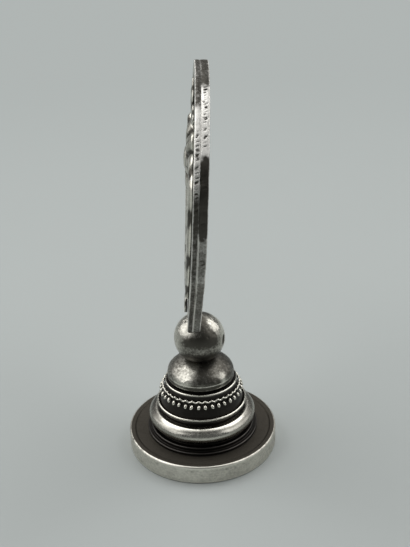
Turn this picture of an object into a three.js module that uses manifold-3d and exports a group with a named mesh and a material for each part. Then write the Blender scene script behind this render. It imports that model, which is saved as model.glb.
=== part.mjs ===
// Desk seal: a round engraved die under a beaded stem, a ball, and a flat ornamented handle plate.
// Millimetres, +Z up. The origin is on the stem's axis, in the plane of the printing face.
// The handle plate lies across X, so its edges face -Y and +Y and its ornament faces -X.
import * as THREE from "three";
import { mergeVertices } from "three/addons/utils/BufferGeometryUtils.js";
import Module from "manifold-3d";

const wasm = await Module();
wasm.setup();

// Fits
const FIT = 0.05; // radial room between a ring and the turned piece inside it
const SEAM = 0.1; // room left for the solder between two pieces of the handle
const END_PLAY = 0.15; // room past the end of a rod, tang or pin

// Die: the printing disc
const DIE_RADIUS = 13;
const DIE_THICKNESS = 3.3;
const DIE_CHAMFER = 0.22;
const RIM_LAND = 0.75;
const DISH_DEPTH = 0.2;
const BORDER_RADIUS = 11; // middle of the engraved border line
const BORDER_WIDTH = 0.6;
const PETAL_COUNT = 8;
const PETAL_INNER = 2.4;
const PETAL_OUTER = 9.6;
const PETAL_WIDTH = 3.4;
const ENGRAVING_DEPTH = 0.5;

// Stem: everything that is turned, from the die up to the ball
const LOW_STEP_RADIUS = 9.7;
const LOW_STEP_RISE = 0.58;
const HIGH_STEP_RADIUS = 9.1;
const HIGH_STEP_RISE = 0.68;
const DRUM_RADIUS = 8.25;
const DRUM_RISE = 0.8;
const RING_OUTER_RADIUS = 9.34;
const RING_HEIGHT = 2.4;
const RING_BELLY_HEIGHT = 0.99; // height of the widest place above the drum
const RING_BELLY_WIDTH = 2.28; // half width of the ellipse that the belly follows
const RING_BRIM_ANGLE = 62; // degrees up the ellipse, where the belly ends
const COLLAR_FOOT_RADIUS = 7.15;
const COLLAR_FOOT_RISE = 2.9;
const FLANGE_RISE = 0.62;
const LEDGE_REACH = 0.15; // how far a ledge runs out past the middle of the wire it carries
const CONE_BASE_RADIUS = 7.36;
const CONE_TOP_RADIUS = 6.15;
const CONE_RISE = 4.02;
const LOWER_WIRE = 0.2; // wire sizes are half thicknesses
const UPPER_WIRE = 0.17;
const UPPER_WIRE_OUTER_RADIUS = 6.29;
const NECK_RADIUS = 5.5;
const NECK_RISE = 0.8;
const BELL_RADIUS = 5.79;
const BELL_BAND = 0.72;
const BELL_CROWN_RADIUS = 2.3;
const BELL_CROWN_RISE = 2.83; // from the band up to the flat crown

// Beading: drops under a waved wire, one wave over each drop
const BEAD_COUNT = 38;
const BEAD_HALF_WIDTH = 0.31;
const BEAD_HALF_HEIGHT = 0.42;
const BEAD_NECK = 0.35; // thickness between two drops, as a share of a drop
const BEAD_DROP = 1.6; // from the cone's top down to the middle of the drops
const WAVE_WIRE = 0.15;
const WAVE_AMPLITUDE = 0.12;
const WAVE_GAP = 0.12;

// Stud that holds the stem together
const STUD_RADIUS = 1.2;
const STUD_IN_DIE = 1.9;
const STUD_WEB = 0.35; // metal left between the stud's hole and the tang's slot

// Ball and the pin through it
const BALL_RADIUS = 4.37;
const BALL_SEAT_RADIUS = 2.2;
const PIN_RADIUS = 0.36;
const PIN_RECESS = 0.45; // how far each end of the pin lies under the ball's surface

// Handle: a plate in two layers, leaning a little towards its plain back
const HANDLE_LEAN = THREE.MathUtils.degToRad(3.6);
const BACK_FACE_X = 0;
const BACK_THICKNESS = 1.25;
const FRONT_THICKNESS = 0.8;
const RIM_WIDTH = 2;
const PANEL_DEPTH = 0.3; // how far the front's panel lies behind its rim
const HEAD_RADIUS = 18.8;
const HEAD_HEIGHT = 27.6; // middle of the round head above the ball's middle
const FOOT_HALF_WIDTH = 3.4;
const PLATE_BEVEL = 0.2;
const TANG_HALF_WIDTH = 2.2;
const TANG_DEPTH = 1.2; // how far the tang reaches below the ball's middle
const PANEL_FOOT = 2.2; // from the ball's top up to the foot of the panel

// Ornament on the front of the handle: heights are above the face that a piece stands on
const RELIEF_EDGE = 0.35; // thickness at the margin of a leaf or flower
const RELIEF_ROOM = 0.4; // clear ground between two pieces of ornament
const MIDRIB_HEIGHT = 0.74; // height of a leaf's midrib, as a share of its greatest height
const SHOULDER_RISE = 0.6; // how steeply a leaf rises from its midrib to its shoulders
const LOBE_DEPTH = 0.26; // how far a margin draws in between two lobes, as a share of the width
const LOBE_SWEEP = 0.45; // how far a lobe leans towards the tip, as a share of the width
const ROSETTE_RADIUS = 5.7;
const ROSETTE_HEIGHT = 1.5;
const ROSETTE_LIFT = 4.1; // above the middle of the round head
const ROSETTE_PETALS = 8;
const ROSETTE_SCALLOP = 0.09;
// Radius and height of the rosette from its petals inwards to its eye, as shares
const ROSETTE_PROFILE = [
  [0.8, 0.72],
  [0.55, 0.8],
  [0.36, 0.55],
  [0.26, 0.92],
  [0, 1],
];
const STEM_LEAF_HALF_WIDTH = 4.6;
const STEM_LEAF_HEIGHT = 1;
const FOOT_LEAF_HALF_WIDTH = 2.1;
const FOOT_LEAF_RISE = 3.7;
const FOOT_LEAF_HEIGHT = 0.5;
const SCROLL_HALF_WIDTH = 1.9;
const SCROLL_HEIGHT = 0.95;
const SCROLL_LOBE_DEPTH = 0.45;
const SIDE_LEAF_HALF_WIDTH = 1.5;
const SIDE_LEAF_HEIGHT = 0.75;
const CREST_HALF_WIDTH = 2.5;
const CREST_HEIGHT = 0.55;

// Paths of the ornament's side pieces, from the middle of the head: across and up, as shares of
// the panel's radius. The scroll's stem runs on into a spiral that turns inwards.
const SCROLL_STEM = [
  [0.2, -1.09],
  [0.43, -0.8],
  [0.66, -0.48],
  [0.79, -0.14],
];
const VOLUTE_MIDDLE = [0.615, 0.2];
const VOLUTE_REACH = 0.235;
const VOLUTE_SHRINK = 0.025; // how much nearer the middle each step comes
const VOLUTE_STEP = 45; // degrees
const VOLUTE_STEPS = 8;
const SIDE_LEAF_PATH = [
  [0.33, -0.66],
  [0.41, -0.44],
  [0.37, -0.18],
];
const CREST_SIDE_PATH = [
  [0.2, 0.63],
  [0.34, 0.73],
  [0.52, 0.72],
];

// Counts of faces
const TURNED_SIDES = 40;
const BALL_STEPS = 14;
const SMALL_SIDES = 20;
const WIRE_SIDES = 6;
const BEAD_SIDES = 5;
const BEAD_STEPS = 4; // steps round the stem for each drop or wave
const HEAD_STEPS = 28;
const LEAF_ROWS = 4;
const PETAL_STEPS = 6;

// Heights and radii that follow from the values above
const dishFloor = DIE_THICKNESS - DISH_DEPTH;
const drumTop = dishFloor + LOW_STEP_RISE + HIGH_STEP_RISE + DRUM_RISE;
const ringInner = COLLAR_FOOT_RADIUS + FIT;
const coneBase = drumTop + COLLAR_FOOT_RISE + FLANGE_RISE;
const coneTop = coneBase + CONE_RISE;
const lowerWireRadius = CONE_BASE_RADIUS + FIT + LOWER_WIRE;
const upperWireRadius = UPPER_WIRE_OUTER_RADIUS - UPPER_WIRE;
const bellBase = coneTop + NECK_RISE;
const crownTop = bellBase + BELL_BAND + BELL_CROWN_RISE;
const ballMiddle = crownTop + Math.sqrt(BALL_RADIUS ** 2 - BALL_SEAT_RADIUS ** 2);
const studTop = ballMiddle - TANG_DEPTH - 2 * END_PLAY - STUD_WEB;
const coneRadiusAt = (z) =>
  CONE_BASE_RADIUS + ((CONE_TOP_RADIUS - CONE_BASE_RADIUS) * (z - coneBase)) / CONE_RISE;

// Finishes
const finish = (color, roughness) => new THREE.MeshStandardMaterial({ color, roughness, metalness: 1 });
const satin = () => finish(0xb9b5ad, 0.35);
const polished = () => finish(0xd8d5cd, 0.2);
const blackened = () => finish(0x3a3531, 0.5);
const steel = () => finish(0x8d8c88, 0.4);

// A geometry as a closed solid, and a solid as a geometry again
function solidOf(geometry) {
  const bare = geometry.clone();
  bare.deleteAttribute("normal");
  bare.deleteAttribute("uv");
  const merged = mergeVertices(bare, 1e-4);
  return new wasm.Manifold(
    new wasm.Mesh({
      numProp: 3,
      vertProperties: merged.attributes.position.array,
      triVerts: new Uint32Array(merged.index.array),
    }),
  );
}

function geometryOf(solid) {
  const mesh = solid.getMesh();
  return new THREE.BufferGeometry()
    .setAttribute("position", new THREE.BufferAttribute(mesh.vertProperties, mesh.numProp))
    .setIndex(new THREE.BufferAttribute(mesh.triVerts, 1));
}

// A profile of [radius, height] pairs, listed upwards along its outside, turned about +Z
function turned(profile, sides = TURNED_SIDES) {
  const points = profile.map(([radius, height]) => new THREE.Vector2(radius, height));
  return new THREE.LatheGeometry(points, sides).rotateX(Math.PI / 2);
}

const rod = (radius, low, high) =>
  turned([[0, low], [radius, low], [radius, high], [0, high]], SMALL_SIDES);

// Points of an arc in the profile plane, from one angle to another in degrees
function arc(radius, height, width, rise, from, to, steps) {
  return Array.from({ length: steps + 1 }, (_, i) => {
    const angle = THREE.MathUtils.degToRad(from + ((to - from) * i) / steps);
    return [radius + width * Math.cos(angle), height + rise * Math.sin(angle)];
  });
}

// A closed ring of round wire; size and lift may vary with the angle round the stem
function wireRing({ radius, height, width, rise, sides, steps, sizeAt = () => 1, liftAt = () => 0 }) {
  const section = arc(radius, height, width, rise, -180, 180, sides);
  section[sides] = section[0];
  const geometry = turned(section, steps);
  const position = geometry.attributes.position;
  for (let i = 0; i < position.count; i++) {
    const angle = Math.atan2(position.getY(i), position.getX(i));
    const reach = Math.hypot(position.getX(i), position.getY(i));
    const newReach = radius + (reach - radius) * sizeAt(angle);
    const newHeight = height + (position.getZ(i) - height) * sizeAt(angle) + liftAt(angle);
    position.setXYZ(i, newReach * Math.cos(angle), newReach * Math.sin(angle), newHeight);
  }
  return geometry;
}

// The round die: dished top, chamfered rim, a rosette and a border line cut into the printing face
function dieGeometry() {
  const rim = DIE_RADIUS - DIE_CHAMFER;
  const body = turned([
    [0, 0],
    [rim, 0],
    [DIE_RADIUS, DIE_CHAMFER],
    [DIE_RADIUS, DIE_THICKNESS - DIE_CHAMFER],
    [rim, DIE_THICKNESS],
    [rim - RIM_LAND, DIE_THICKNESS],
    [rim - RIM_LAND - DISH_DEPTH, dishFloor],
    [0, dishFloor],
  ]);
  const border = turned([
    [BORDER_RADIUS - BORDER_WIDTH / 2, -ENGRAVING_DEPTH],
    [BORDER_RADIUS + BORDER_WIDTH / 2, -ENGRAVING_DEPTH],
    [BORDER_RADIUS, ENGRAVING_DEPTH],
    [BORDER_RADIUS - BORDER_WIDTH / 2, -ENGRAVING_DEPTH],
  ]);
  const petal = new THREE.Shape()
    .moveTo(PETAL_INNER, 0)
    .quadraticCurveTo((PETAL_INNER + PETAL_OUTER) / 2, PETAL_WIDTH, PETAL_OUTER, 0)
    .quadraticCurveTo((PETAL_INNER + PETAL_OUTER) / 2, -PETAL_WIDTH, PETAL_INNER, 0);
  const cut = new THREE.ExtrudeGeometry(petal, {
    depth: 2 * ENGRAVING_DEPTH,
    bevelEnabled: false,
    curveSegments: 6,
  }).translate(0, 0, -ENGRAVING_DEPTH);
  let die = solidOf(body).subtract(solidOf(border));
  for (let i = 0; i < PETAL_COUNT; i++) {
    const turn = new THREE.Matrix4().makeRotationZ(((i + 0.5) * 2 * Math.PI) / PETAL_COUNT);
    die = die.subtract(solidOf(cut.clone().applyMatrix4(turn)));
  }
  const studHole = rod(STUD_RADIUS + FIT, dishFloor - STUD_IN_DIE - END_PLAY, DIE_THICKNESS);
  return geometryOf(die.subtract(solidOf(studHole)));
}

// Two low steps and the drum that carries the bright ring
function plinthGeometry() {
  const bore = STUD_RADIUS + FIT;
  const lowTop = dishFloor + LOW_STEP_RISE;
  const highTop = lowTop + HIGH_STEP_RISE;
  return turned([
    [bore, dishFloor],
    [LOW_STEP_RADIUS, dishFloor],
    [LOW_STEP_RADIUS, lowTop],
    [HIGH_STEP_RADIUS, lowTop],
    [HIGH_STEP_RADIUS, highTop],
    [DRUM_RADIUS, highTop],
    [DRUM_RADIUS, drumTop],
    [bore, drumTop],
    [bore, dishFloor],
  ]);
}

// Bright ring on the drum, with an elliptic belly that runs up to its flat top
function ringGeometry() {
  const { degToRad, radToDeg } = THREE.MathUtils;
  const rise = (RING_HEIGHT - RING_BELLY_HEIGHT) / Math.sin(degToRad(RING_BRIM_ANGLE));
  const foot = -radToDeg(Math.asin(RING_BELLY_HEIGHT / rise));
  const middle = RING_OUTER_RADIUS - RING_BELLY_WIDTH;
  const belly = drumTop + RING_BELLY_HEIGHT;
  return turned([
    [ringInner, drumTop],
    ...arc(middle, belly, RING_BELLY_WIDTH, rise, foot, RING_BRIM_ANGLE, 7),
    [ringInner, drumTop + RING_HEIGHT],
    [ringInner, drumTop],
  ]);
}

// Tapered collar: foot inside the ring, flange under the lower wire, cone, neck under the bell
function collarGeometry() {
  const bore = STUD_RADIUS + FIT;
  const flangeRadius = lowerWireRadius + LEDGE_REACH;
  const footTop = drumTop + COLLAR_FOOT_RISE;
  return turned([
    [bore, drumTop],
    [COLLAR_FOOT_RADIUS, drumTop],
    [COLLAR_FOOT_RADIUS, footTop],
    [flangeRadius, footTop + FLANGE_RISE / 2],
    [flangeRadius, coneBase],
    [CONE_BASE_RADIUS, coneBase],
    [CONE_TOP_RADIUS, coneTop],
    [NECK_RADIUS, coneTop],
    [NECK_RADIUS, bellBase],
    [bore, bellBase],
    [bore, drumTop],
  ]);
}

// Drops joined by thin necks, standing round the cone
function beadGeometry() {
  const height = coneTop - BEAD_DROP;
  return wireRing({
    radius: coneRadiusAt(height - BEAD_HALF_HEIGHT) + FIT + BEAD_HALF_WIDTH,
    height,
    width: BEAD_HALF_WIDTH,
    rise: BEAD_HALF_HEIGHT,
    sides: BEAD_SIDES,
    steps: BEAD_COUNT * BEAD_STEPS,
    sizeAt: (angle) => BEAD_NECK + (1 - BEAD_NECK) * Math.abs(Math.cos((angle * BEAD_COUNT) / 2)),
  });
}

// Waved wire with one crest over each drop
function waveGeometry() {
  const height = coneTop - BEAD_DROP + BEAD_HALF_HEIGHT + WAVE_GAP + WAVE_AMPLITUDE + WAVE_WIRE;
  return wireRing({
    radius: coneRadiusAt(height - WAVE_WIRE - WAVE_AMPLITUDE) + FIT + WAVE_WIRE,
    height,
    width: WAVE_WIRE,
    rise: WAVE_WIRE,
    sides: 4,
    steps: BEAD_COUNT * BEAD_STEPS,
    liftAt: (angle) => WAVE_AMPLITUDE * Math.cos(angle * BEAD_COUNT),
  });
}

// Bell: a plain band under an elliptic dome with a flat crown
function bellGeometry() {
  const bore = STUD_RADIUS + FIT;
  const bandTop = bellBase + BELL_BAND;
  const crownAngle = THREE.MathUtils.radToDeg(Math.acos(BELL_CROWN_RADIUS / BELL_RADIUS));
  const domeRise = BELL_CROWN_RISE / Math.sin(THREE.MathUtils.degToRad(crownAngle));
  return turned([
    [bore, bellBase],
    [BELL_RADIUS, bellBase],
    ...arc(0, bandTop, BELL_RADIUS, domeRise, 0, crownAngle, 7),
    [bore, crownTop],
    [bore, bellBase],
  ]);
}

// The handle's own frame: origin at the ball's middle, leaning about Y
const lean = new THREE.Matrix4().makeRotationY(HANDLE_LEAN);

// A block between two faces in X, of a given half width in Y, between two heights
function block(lowX, highX, halfWidth, low, high) {
  return new THREE.BoxGeometry(highX - lowX, 2 * halfWidth, high - low).translate(
    (lowX + highX) / 2,
    0,
    (low + high) / 2,
  );
}

const pinRod = (radius, reach) => rod(radius, -reach, reach).rotateY(Math.PI / 2);

// Profile of a ball about its own middle, from an angle in degrees up to its top
const ballArc = (radius, from) =>
  arc(0, 0, radius, radius, from, 90, BALL_STEPS).map(([r, z]) => [Math.max(r, 0), z]);

// Ball: flat seat below, a slot for the tang, a cross hole for the pin and a hole for the stud
function ballGeometry() {
  const seatAngle = THREE.MathUtils.radToDeg(Math.asin(BALL_SEAT_RADIUS / BALL_RADIUS));
  const seat = [0, -Math.sqrt(BALL_RADIUS ** 2 - BALL_SEAT_RADIUS ** 2)];
  const body = turned([seat, ...ballArc(BALL_RADIUS, seatAngle - 90)]);
  const slot = block(
    BACK_FACE_X - BACK_THICKNESS - SEAM,
    BACK_FACE_X + SEAM,
    TANG_HALF_WIDTH + SEAM,
    -TANG_DEPTH - END_PLAY,
    2 * BALL_RADIUS,
  ).applyMatrix4(lean);
  const crossHole = pinRod(PIN_RADIUS + FIT, 2 * BALL_RADIUS).applyMatrix4(lean);
  const studHole = rod(STUD_RADIUS + FIT, -2 * BALL_RADIUS, studTop + END_PLAY - ballMiddle);
  let ball = solidOf(body);
  for (const cut of [slot, crossHole, studHole]) ball = ball.subtract(solidOf(cut));
  return geometryOf(ball);
}

// The plate's flank leaves the ball at the foot and runs tangent into the round head.
// Its angle is that of the head's radius at the tangent point.
const footHeight = Math.sqrt(BALL_RADIUS ** 2 - FOOT_HALF_WIDTH ** 2);
const flankAngle =
  Math.acos(HEAD_RADIUS / Math.hypot(FOOT_HALF_WIDTH, HEAD_HEIGHT - footHeight)) -
  Math.atan2(HEAD_HEIGHT - footHeight, FOOT_HALF_WIDTH);
const panelRadius = HEAD_RADIUS - RIM_WIDTH;
const panelFoot = BALL_RADIUS + PANEL_FOOT;

// Round head of the plate or of the panel, from one flank over the top to the other
function addHead(shape, radius) {
  return shape
    .lineTo(radius * Math.cos(flankAngle), HEAD_HEIGHT + radius * Math.sin(flankAngle))
    .absarc(0, HEAD_HEIGHT, radius, flankAngle, Math.PI - flankAngle, false);
}

// Outline of the plate in its own plane, x across the handle and y up, from inside the ball
function plateOutline() {
  const foot = new THREE.Shape().moveTo(FOOT_HALF_WIDTH, 0).lineTo(FOOT_HALF_WIDTH, footHeight);
  return addHead(foot, HEAD_RADIUS)
    .lineTo(-FOOT_HALF_WIDTH, footHeight)
    .lineTo(-FOOT_HALF_WIDTH, 0)
    .closePath();
}

// Outline of the sunk panel: flanks level with the plate's, and a foot that curves round the ball
function panelOutline() {
  const nearest = panelRadius + HEAD_HEIGHT * Math.sin(flankAngle);
  const corner = flankAngle + Math.acos(nearest / panelFoot);
  const foot = new THREE.Shape().moveTo(panelFoot * Math.cos(corner), panelFoot * Math.sin(corner));
  return addHead(foot, panelRadius)
    .absarc(0, 0, panelFoot, Math.PI - corner, corner, true)
    .closePath();
}

// Turns a flat extrusion from its own plane into the handle's: x to +Y, y to +Z, depth to +X
const upright = new THREE.Matrix4().makeBasis(
  new THREE.Vector3(0, 1, 0),
  new THREE.Vector3(0, 0, 1),
  new THREE.Vector3(1, 0, 0),
);

function layer(shape, lowX, thickness, bevel) {
  return new THREE.ExtrudeGeometry(shape, {
    depth: thickness - 2 * bevel,
    bevelEnabled: bevel > 0,
    bevelSize: bevel,
    bevelThickness: bevel,
    bevelOffset: -bevel,
    bevelSegments: 1,
    curveSegments: HEAD_STEPS,
  })
    .applyMatrix4(upright)
    .translate(lowX + bevel, 0, 0);
}

// Room for the ball in the plates
const ballRoom = () => turned(ballArc(BALL_RADIUS + SEAM, -90));

// Back layer: the plain plate, hollowed to sit on the ball, with a tang that the pin holds
function backGeometry() {
  const low = BACK_FACE_X - BACK_THICKNESS;
  const plate = solidOf(layer(plateOutline(), low, BACK_THICKNESS, PLATE_BEVEL));
  const tang = solidOf(block(low, BACK_FACE_X, TANG_HALF_WIDTH, -TANG_DEPTH, panelFoot));
  const pinHole = solidOf(pinRod(PIN_RADIUS + FIT, 2 * BALL_RADIUS));
  return geometryOf(plate.subtract(solidOf(ballRoom())).add(tang).subtract(pinHole));
}

const rimX = BACK_FACE_X - BACK_THICKNESS - SEAM - FRONT_THICKNESS;
const panelX = rimX + PANEL_DEPTH;
const rimBack = rimX - SEAM; // backs of the pieces soldered to the rim and to the panel
const panelBack = panelX - SEAM;

// Front layer: a plate with a sunk panel inside a plain rim, cut at its foot to the ball
function frontGeometry() {
  const plate = solidOf(layer(plateOutline(), rimX, FRONT_THICKNESS, PLATE_BEVEL));
  const panel = solidOf(layer(panelOutline(), rimX - PANEL_DEPTH, 2 * PANEL_DEPTH, 0));
  return geometryOf(plate.subtract(solidOf(ballRoom())).subtract(panel));
}

// A piece of relief: a grid whose front is given by place and height, closed behind by a flat back.
// pointAt(along, across) gives [y, z, height] for along and across from 0 to 1.
function reliefGrid(backX, columns, rows, pointAt) {
  const front = [];
  const back = [];
  for (let i = 0; i <= columns; i++)
    for (let j = 0; j <= rows; j++) {
      const [y, z, height] = pointAt(i / columns, j / rows);
      front.push(backX - height, y, z);
      back.push(backX, y, z);
    }
  const count = front.length / 3;
  const index = [];
  const at = (i, j) => i * (rows + 1) + j;
  const quad = (a, b, c, d) => index.push(a, c, b, a, d, c);
  const wall = (a, b) => quad(a, b, count + b, count + a);
  for (let i = 0; i < columns; i++) {
    for (let j = 0; j < rows; j++) {
      quad(at(i, j), at(i, j + 1), at(i + 1, j + 1), at(i + 1, j));
      quad(count + at(i, j), count + at(i + 1, j), count + at(i + 1, j + 1), count + at(i, j + 1));
    }
    wall(at(i, 0), at(i + 1, 0));
    wall(at(i + 1, rows), at(i, rows));
  }
  for (let j = 0; j < rows; j++) {
    wall(at(0, j + 1), at(0, j));
    wall(at(columns, j), at(columns, j + 1));
  }
  return new THREE.BufferGeometry()
    .setAttribute("position", new THREE.Float32BufferAttribute([...front, ...back], 3))
    .setIndex(index);
}

// A leaf along a path in the plate's plane, with lobes swept towards its tip and a hollow midrib.
// base and tip are its widths at the ends as shares of its greatest width. A taper under 1 brings
// the widest place nearer the base. A leaf with a plain inner margin has lobes on its outer one only.
// Side 1 or -1 mirrors the leaf.
function leafGeometry(leaf) {
  const { path, halfWidth, height, lobes, columns } = leaf;
  const { base = 0.4, tip = 0.15, taper = 1, lobeDepth = LOBE_DEPTH } = leaf;
  const { plainInside = false, side = 1, backX = panelBack } = leaf;
  const grow = Math.asin(base) / Math.PI;
  const shrink = 1 - Math.asin(tip) / Math.PI;
  return reliefGrid(backX, columns, LEAF_ROWS, (along, across) => {
    const middle = path.getPoint(along);
    const heading = path.getTangent(along);
    const belly = Math.sin(Math.PI * (grow + (shrink - grow) * along ** taper));
    const outwards = side * (2 * across - 1);
    const spread = Math.abs(outwards);
    const lobed = plainInside && outwards < 0 ? 0 : 1;
    const lobe = 1 - lobed * lobeDepth * Math.abs(Math.sin(Math.PI * lobes * along)) ** 3;
    const reach = halfWidth * belly * lobe * outwards;
    const sweep = lobed * LOBE_SWEEP * halfWidth * belly * spread * (1 - along);
    const swell = (1 - spread ** 3) * (MIDRIB_HEIGHT + SHOULDER_RISE * spread) * Math.sqrt(belly);
    return [
      side * (middle.x + heading.y * reach + heading.x * sweep),
      middle.y - heading.x * reach + heading.y * sweep,
      RELIEF_EDGE + (height - RELIEF_EDGE) * swell,
    ];
  });
}

// Domed flower with scalloped petals round a raised eye
function rosetteGeometry() {
  const profile = [
    [0, 0],
    [ROSETTE_RADIUS, 0],
    [ROSETTE_RADIUS, RELIEF_EDGE],
    ...ROSETTE_PROFILE.map(([reach, rise]) => [ROSETTE_RADIUS * reach, ROSETTE_HEIGHT * rise]),
  ];
  const geometry = turned(profile, ROSETTE_PETALS * PETAL_STEPS);
  const position = geometry.attributes.position;
  for (let i = 0; i < position.count; i++) {
    const reach = Math.hypot(position.getX(i), position.getY(i));
    const angle = Math.atan2(position.getY(i), position.getX(i));
    const scallop = ROSETTE_SCALLOP * (reach / ROSETTE_RADIUS) ** 2 * Math.cos(ROSETTE_PETALS * angle);
    position.setX(i, position.getX(i) * (1 + scallop));
    position.setY(i, position.getY(i) * (1 + scallop));
  }
  return geometry.rotateY(-Math.PI / 2).translate(panelBack, 0, rosetteMiddle);
}

const rosetteMiddle = HEAD_HEIGHT + ROSETTE_LIFT;
const rosetteReach = ROSETTE_RADIUS * (1 + ROSETTE_SCALLOP) + RELIEF_ROOM;

// Upright path on the plate's middle line, and a side path from shares of the panel's radius
const uprightPath = (low, high) =>
  new THREE.LineCurve(new THREE.Vector2(0, low), new THREE.Vector2(0, high));
const volute = Array.from({ length: VOLUTE_STEPS + 1 }, (_, i) => {
  const angle = THREE.MathUtils.degToRad(i * VOLUTE_STEP);
  const reach = VOLUTE_REACH - i * VOLUTE_SHRINK;
  return [VOLUTE_MIDDLE[0] + reach * Math.cos(angle), VOLUTE_MIDDLE[1] + reach * Math.sin(angle)];
});
const sidePath = (shares) =>
  new THREE.SplineCurve(
    shares.map(([across, up]) => new THREE.Vector2(across * panelRadius, HEAD_HEIGHT + up * panelRadius)),
  );

// The leaves of the ornament
const stemLeaf = {
  path: uprightPath(BALL_RADIUS + FOOT_LEAF_RISE + 2 * RELIEF_ROOM, rosetteMiddle - rosetteReach),
  halfWidth: STEM_LEAF_HALF_WIDTH,
  height: STEM_LEAF_HEIGHT,
  lobes: 5,
  columns: 25,
  base: 0.5,
};
const footLeaf = {
  path: uprightPath(BALL_RADIUS + RELIEF_ROOM, BALL_RADIUS + RELIEF_ROOM + FOOT_LEAF_RISE),
  halfWidth: FOOT_LEAF_HALF_WIDTH,
  height: FOOT_LEAF_HEIGHT,
  lobes: 1,
  columns: 6,
  backX: rimBack,
  base: 0.6,
};
const crestLeaf = {
  path: uprightPath(rosetteMiddle + rosetteReach, HEAD_HEIGHT + panelRadius - RELIEF_ROOM),
  halfWidth: CREST_HALF_WIDTH,
  height: CREST_HEIGHT,
  lobes: 2,
  columns: 10,
};
const scroll = {
  path: sidePath([...SCROLL_STEM, ...volute]),
  halfWidth: SCROLL_HALF_WIDTH,
  height: SCROLL_HEIGHT,
  lobes: 9,
  columns: 54,
  base: 0.3,
  tip: 0.2,
  taper: 0.62,
  lobeDepth: SCROLL_LOBE_DEPTH,
  plainInside: true,
};
const sideLeaf = {
  path: sidePath(SIDE_LEAF_PATH),
  halfWidth: SIDE_LEAF_HALF_WIDTH,
  height: SIDE_LEAF_HEIGHT,
  lobes: 2,
  columns: 10,
};
const crestSide = {
  path: sidePath(CREST_SIDE_PATH),
  halfWidth: SIDE_LEAF_HALF_WIDTH,
  height: CREST_HEIGHT,
  lobes: 2,
  columns: 10,
};

function piece(name, geometry, material) {
  const mesh = new THREE.Mesh(geometry, material);
  mesh.name = name;
  return mesh;
}

const stem = new THREE.Group();
stem.add(
  piece("die_disc", dieGeometry(), satin()),
  piece("stepped_plinth", plinthGeometry(), blackened()),
  piece("bright_ring", ringGeometry(), polished()),
  piece("tapered_collar", collarGeometry(), blackened()),
  piece(
    "lower_wire",
    wireRing({
      radius: lowerWireRadius,
      height: coneBase + LOWER_WIRE,
      width: LOWER_WIRE,
      rise: LOWER_WIRE,
      sides: WIRE_SIDES,
      steps: TURNED_SIDES,
    }),
    polished(),
  ),
  piece("bead_row", beadGeometry(), polished()),
  piece("waved_wire", waveGeometry(), polished()),
  piece(
    "upper_wire",
    wireRing({
      radius: upperWireRadius,
      height: coneTop + UPPER_WIRE,
      width: UPPER_WIRE,
      rise: UPPER_WIRE,
      sides: WIRE_SIDES,
      steps: TURNED_SIDES,
    }),
    polished(),
  ),
  piece("bell_cap", bellGeometry(), satin()),
  piece("stud", rod(STUD_RADIUS, dishFloor - STUD_IN_DIE, studTop), steel()),
);

const ball = piece("ball", ballGeometry(), satin());
ball.position.z = ballMiddle;

const handle = new THREE.Group();
handle.position.z = ballMiddle;
handle.rotation.y = HANDLE_LEAN;
handle.add(
  piece("cross_pin", pinRod(PIN_RADIUS, BALL_RADIUS - PIN_RECESS), steel()),
  piece("back_plate", backGeometry(), satin()),
  piece("front_plate", frontGeometry(), satin()),
  piece("rosette", rosetteGeometry(), satin()),
  piece("stem_leaf", leafGeometry(stemLeaf), satin()),
  piece("foot_leaf", leafGeometry(footLeaf), satin()),
  piece("crest_leaf", leafGeometry(crestLeaf), satin()),
);
for (const [name, side] of [["left", 1], ["right", -1]])
  handle.add(
    piece("scroll_" + name, leafGeometry({ ...scroll, side }), satin()),
    piece("side_leaf_" + name, leafGeometry({ ...sideLeaf, side }), satin()),
    piece("crest_side_" + name, leafGeometry({ ...crestSide, side }), satin()),
  );

const part = new THREE.Group();
part.add(stem, ball, handle);

export default part;
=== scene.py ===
"""Looks of a desk seal: a round die under a beaded stem, a ball and an ornamented handle plate.

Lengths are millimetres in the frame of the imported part: +Z up, the origin on the stem's axis in the
plane of the printing face, the handle plate across X with its ornament towards -X. Meshes are
written in metres, as the frame is.
"""

import logging
import math
from dataclasses import dataclass
from enum import Enum

import bpy
import numpy as np
from mathutils import Matrix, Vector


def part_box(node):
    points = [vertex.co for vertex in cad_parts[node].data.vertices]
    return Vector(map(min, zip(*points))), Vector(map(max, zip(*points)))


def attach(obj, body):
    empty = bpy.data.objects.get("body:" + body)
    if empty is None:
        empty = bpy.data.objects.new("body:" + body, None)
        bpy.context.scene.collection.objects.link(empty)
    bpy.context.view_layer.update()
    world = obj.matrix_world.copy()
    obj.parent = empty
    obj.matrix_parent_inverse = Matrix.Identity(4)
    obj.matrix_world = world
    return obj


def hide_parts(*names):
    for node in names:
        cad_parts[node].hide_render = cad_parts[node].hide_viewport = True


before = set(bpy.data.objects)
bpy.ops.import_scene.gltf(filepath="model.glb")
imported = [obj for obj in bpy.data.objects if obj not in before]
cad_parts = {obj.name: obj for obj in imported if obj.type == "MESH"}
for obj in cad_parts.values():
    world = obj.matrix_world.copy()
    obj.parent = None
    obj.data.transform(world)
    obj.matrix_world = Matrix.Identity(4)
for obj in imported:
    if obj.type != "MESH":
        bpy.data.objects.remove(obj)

MM = 0.001
Colour = tuple[float, float, float]
Place = tuple[float, float, float]
Corner = tuple[float, float, float]
log = logging.getLogger("desk_seal")


# Surfaces


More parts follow.
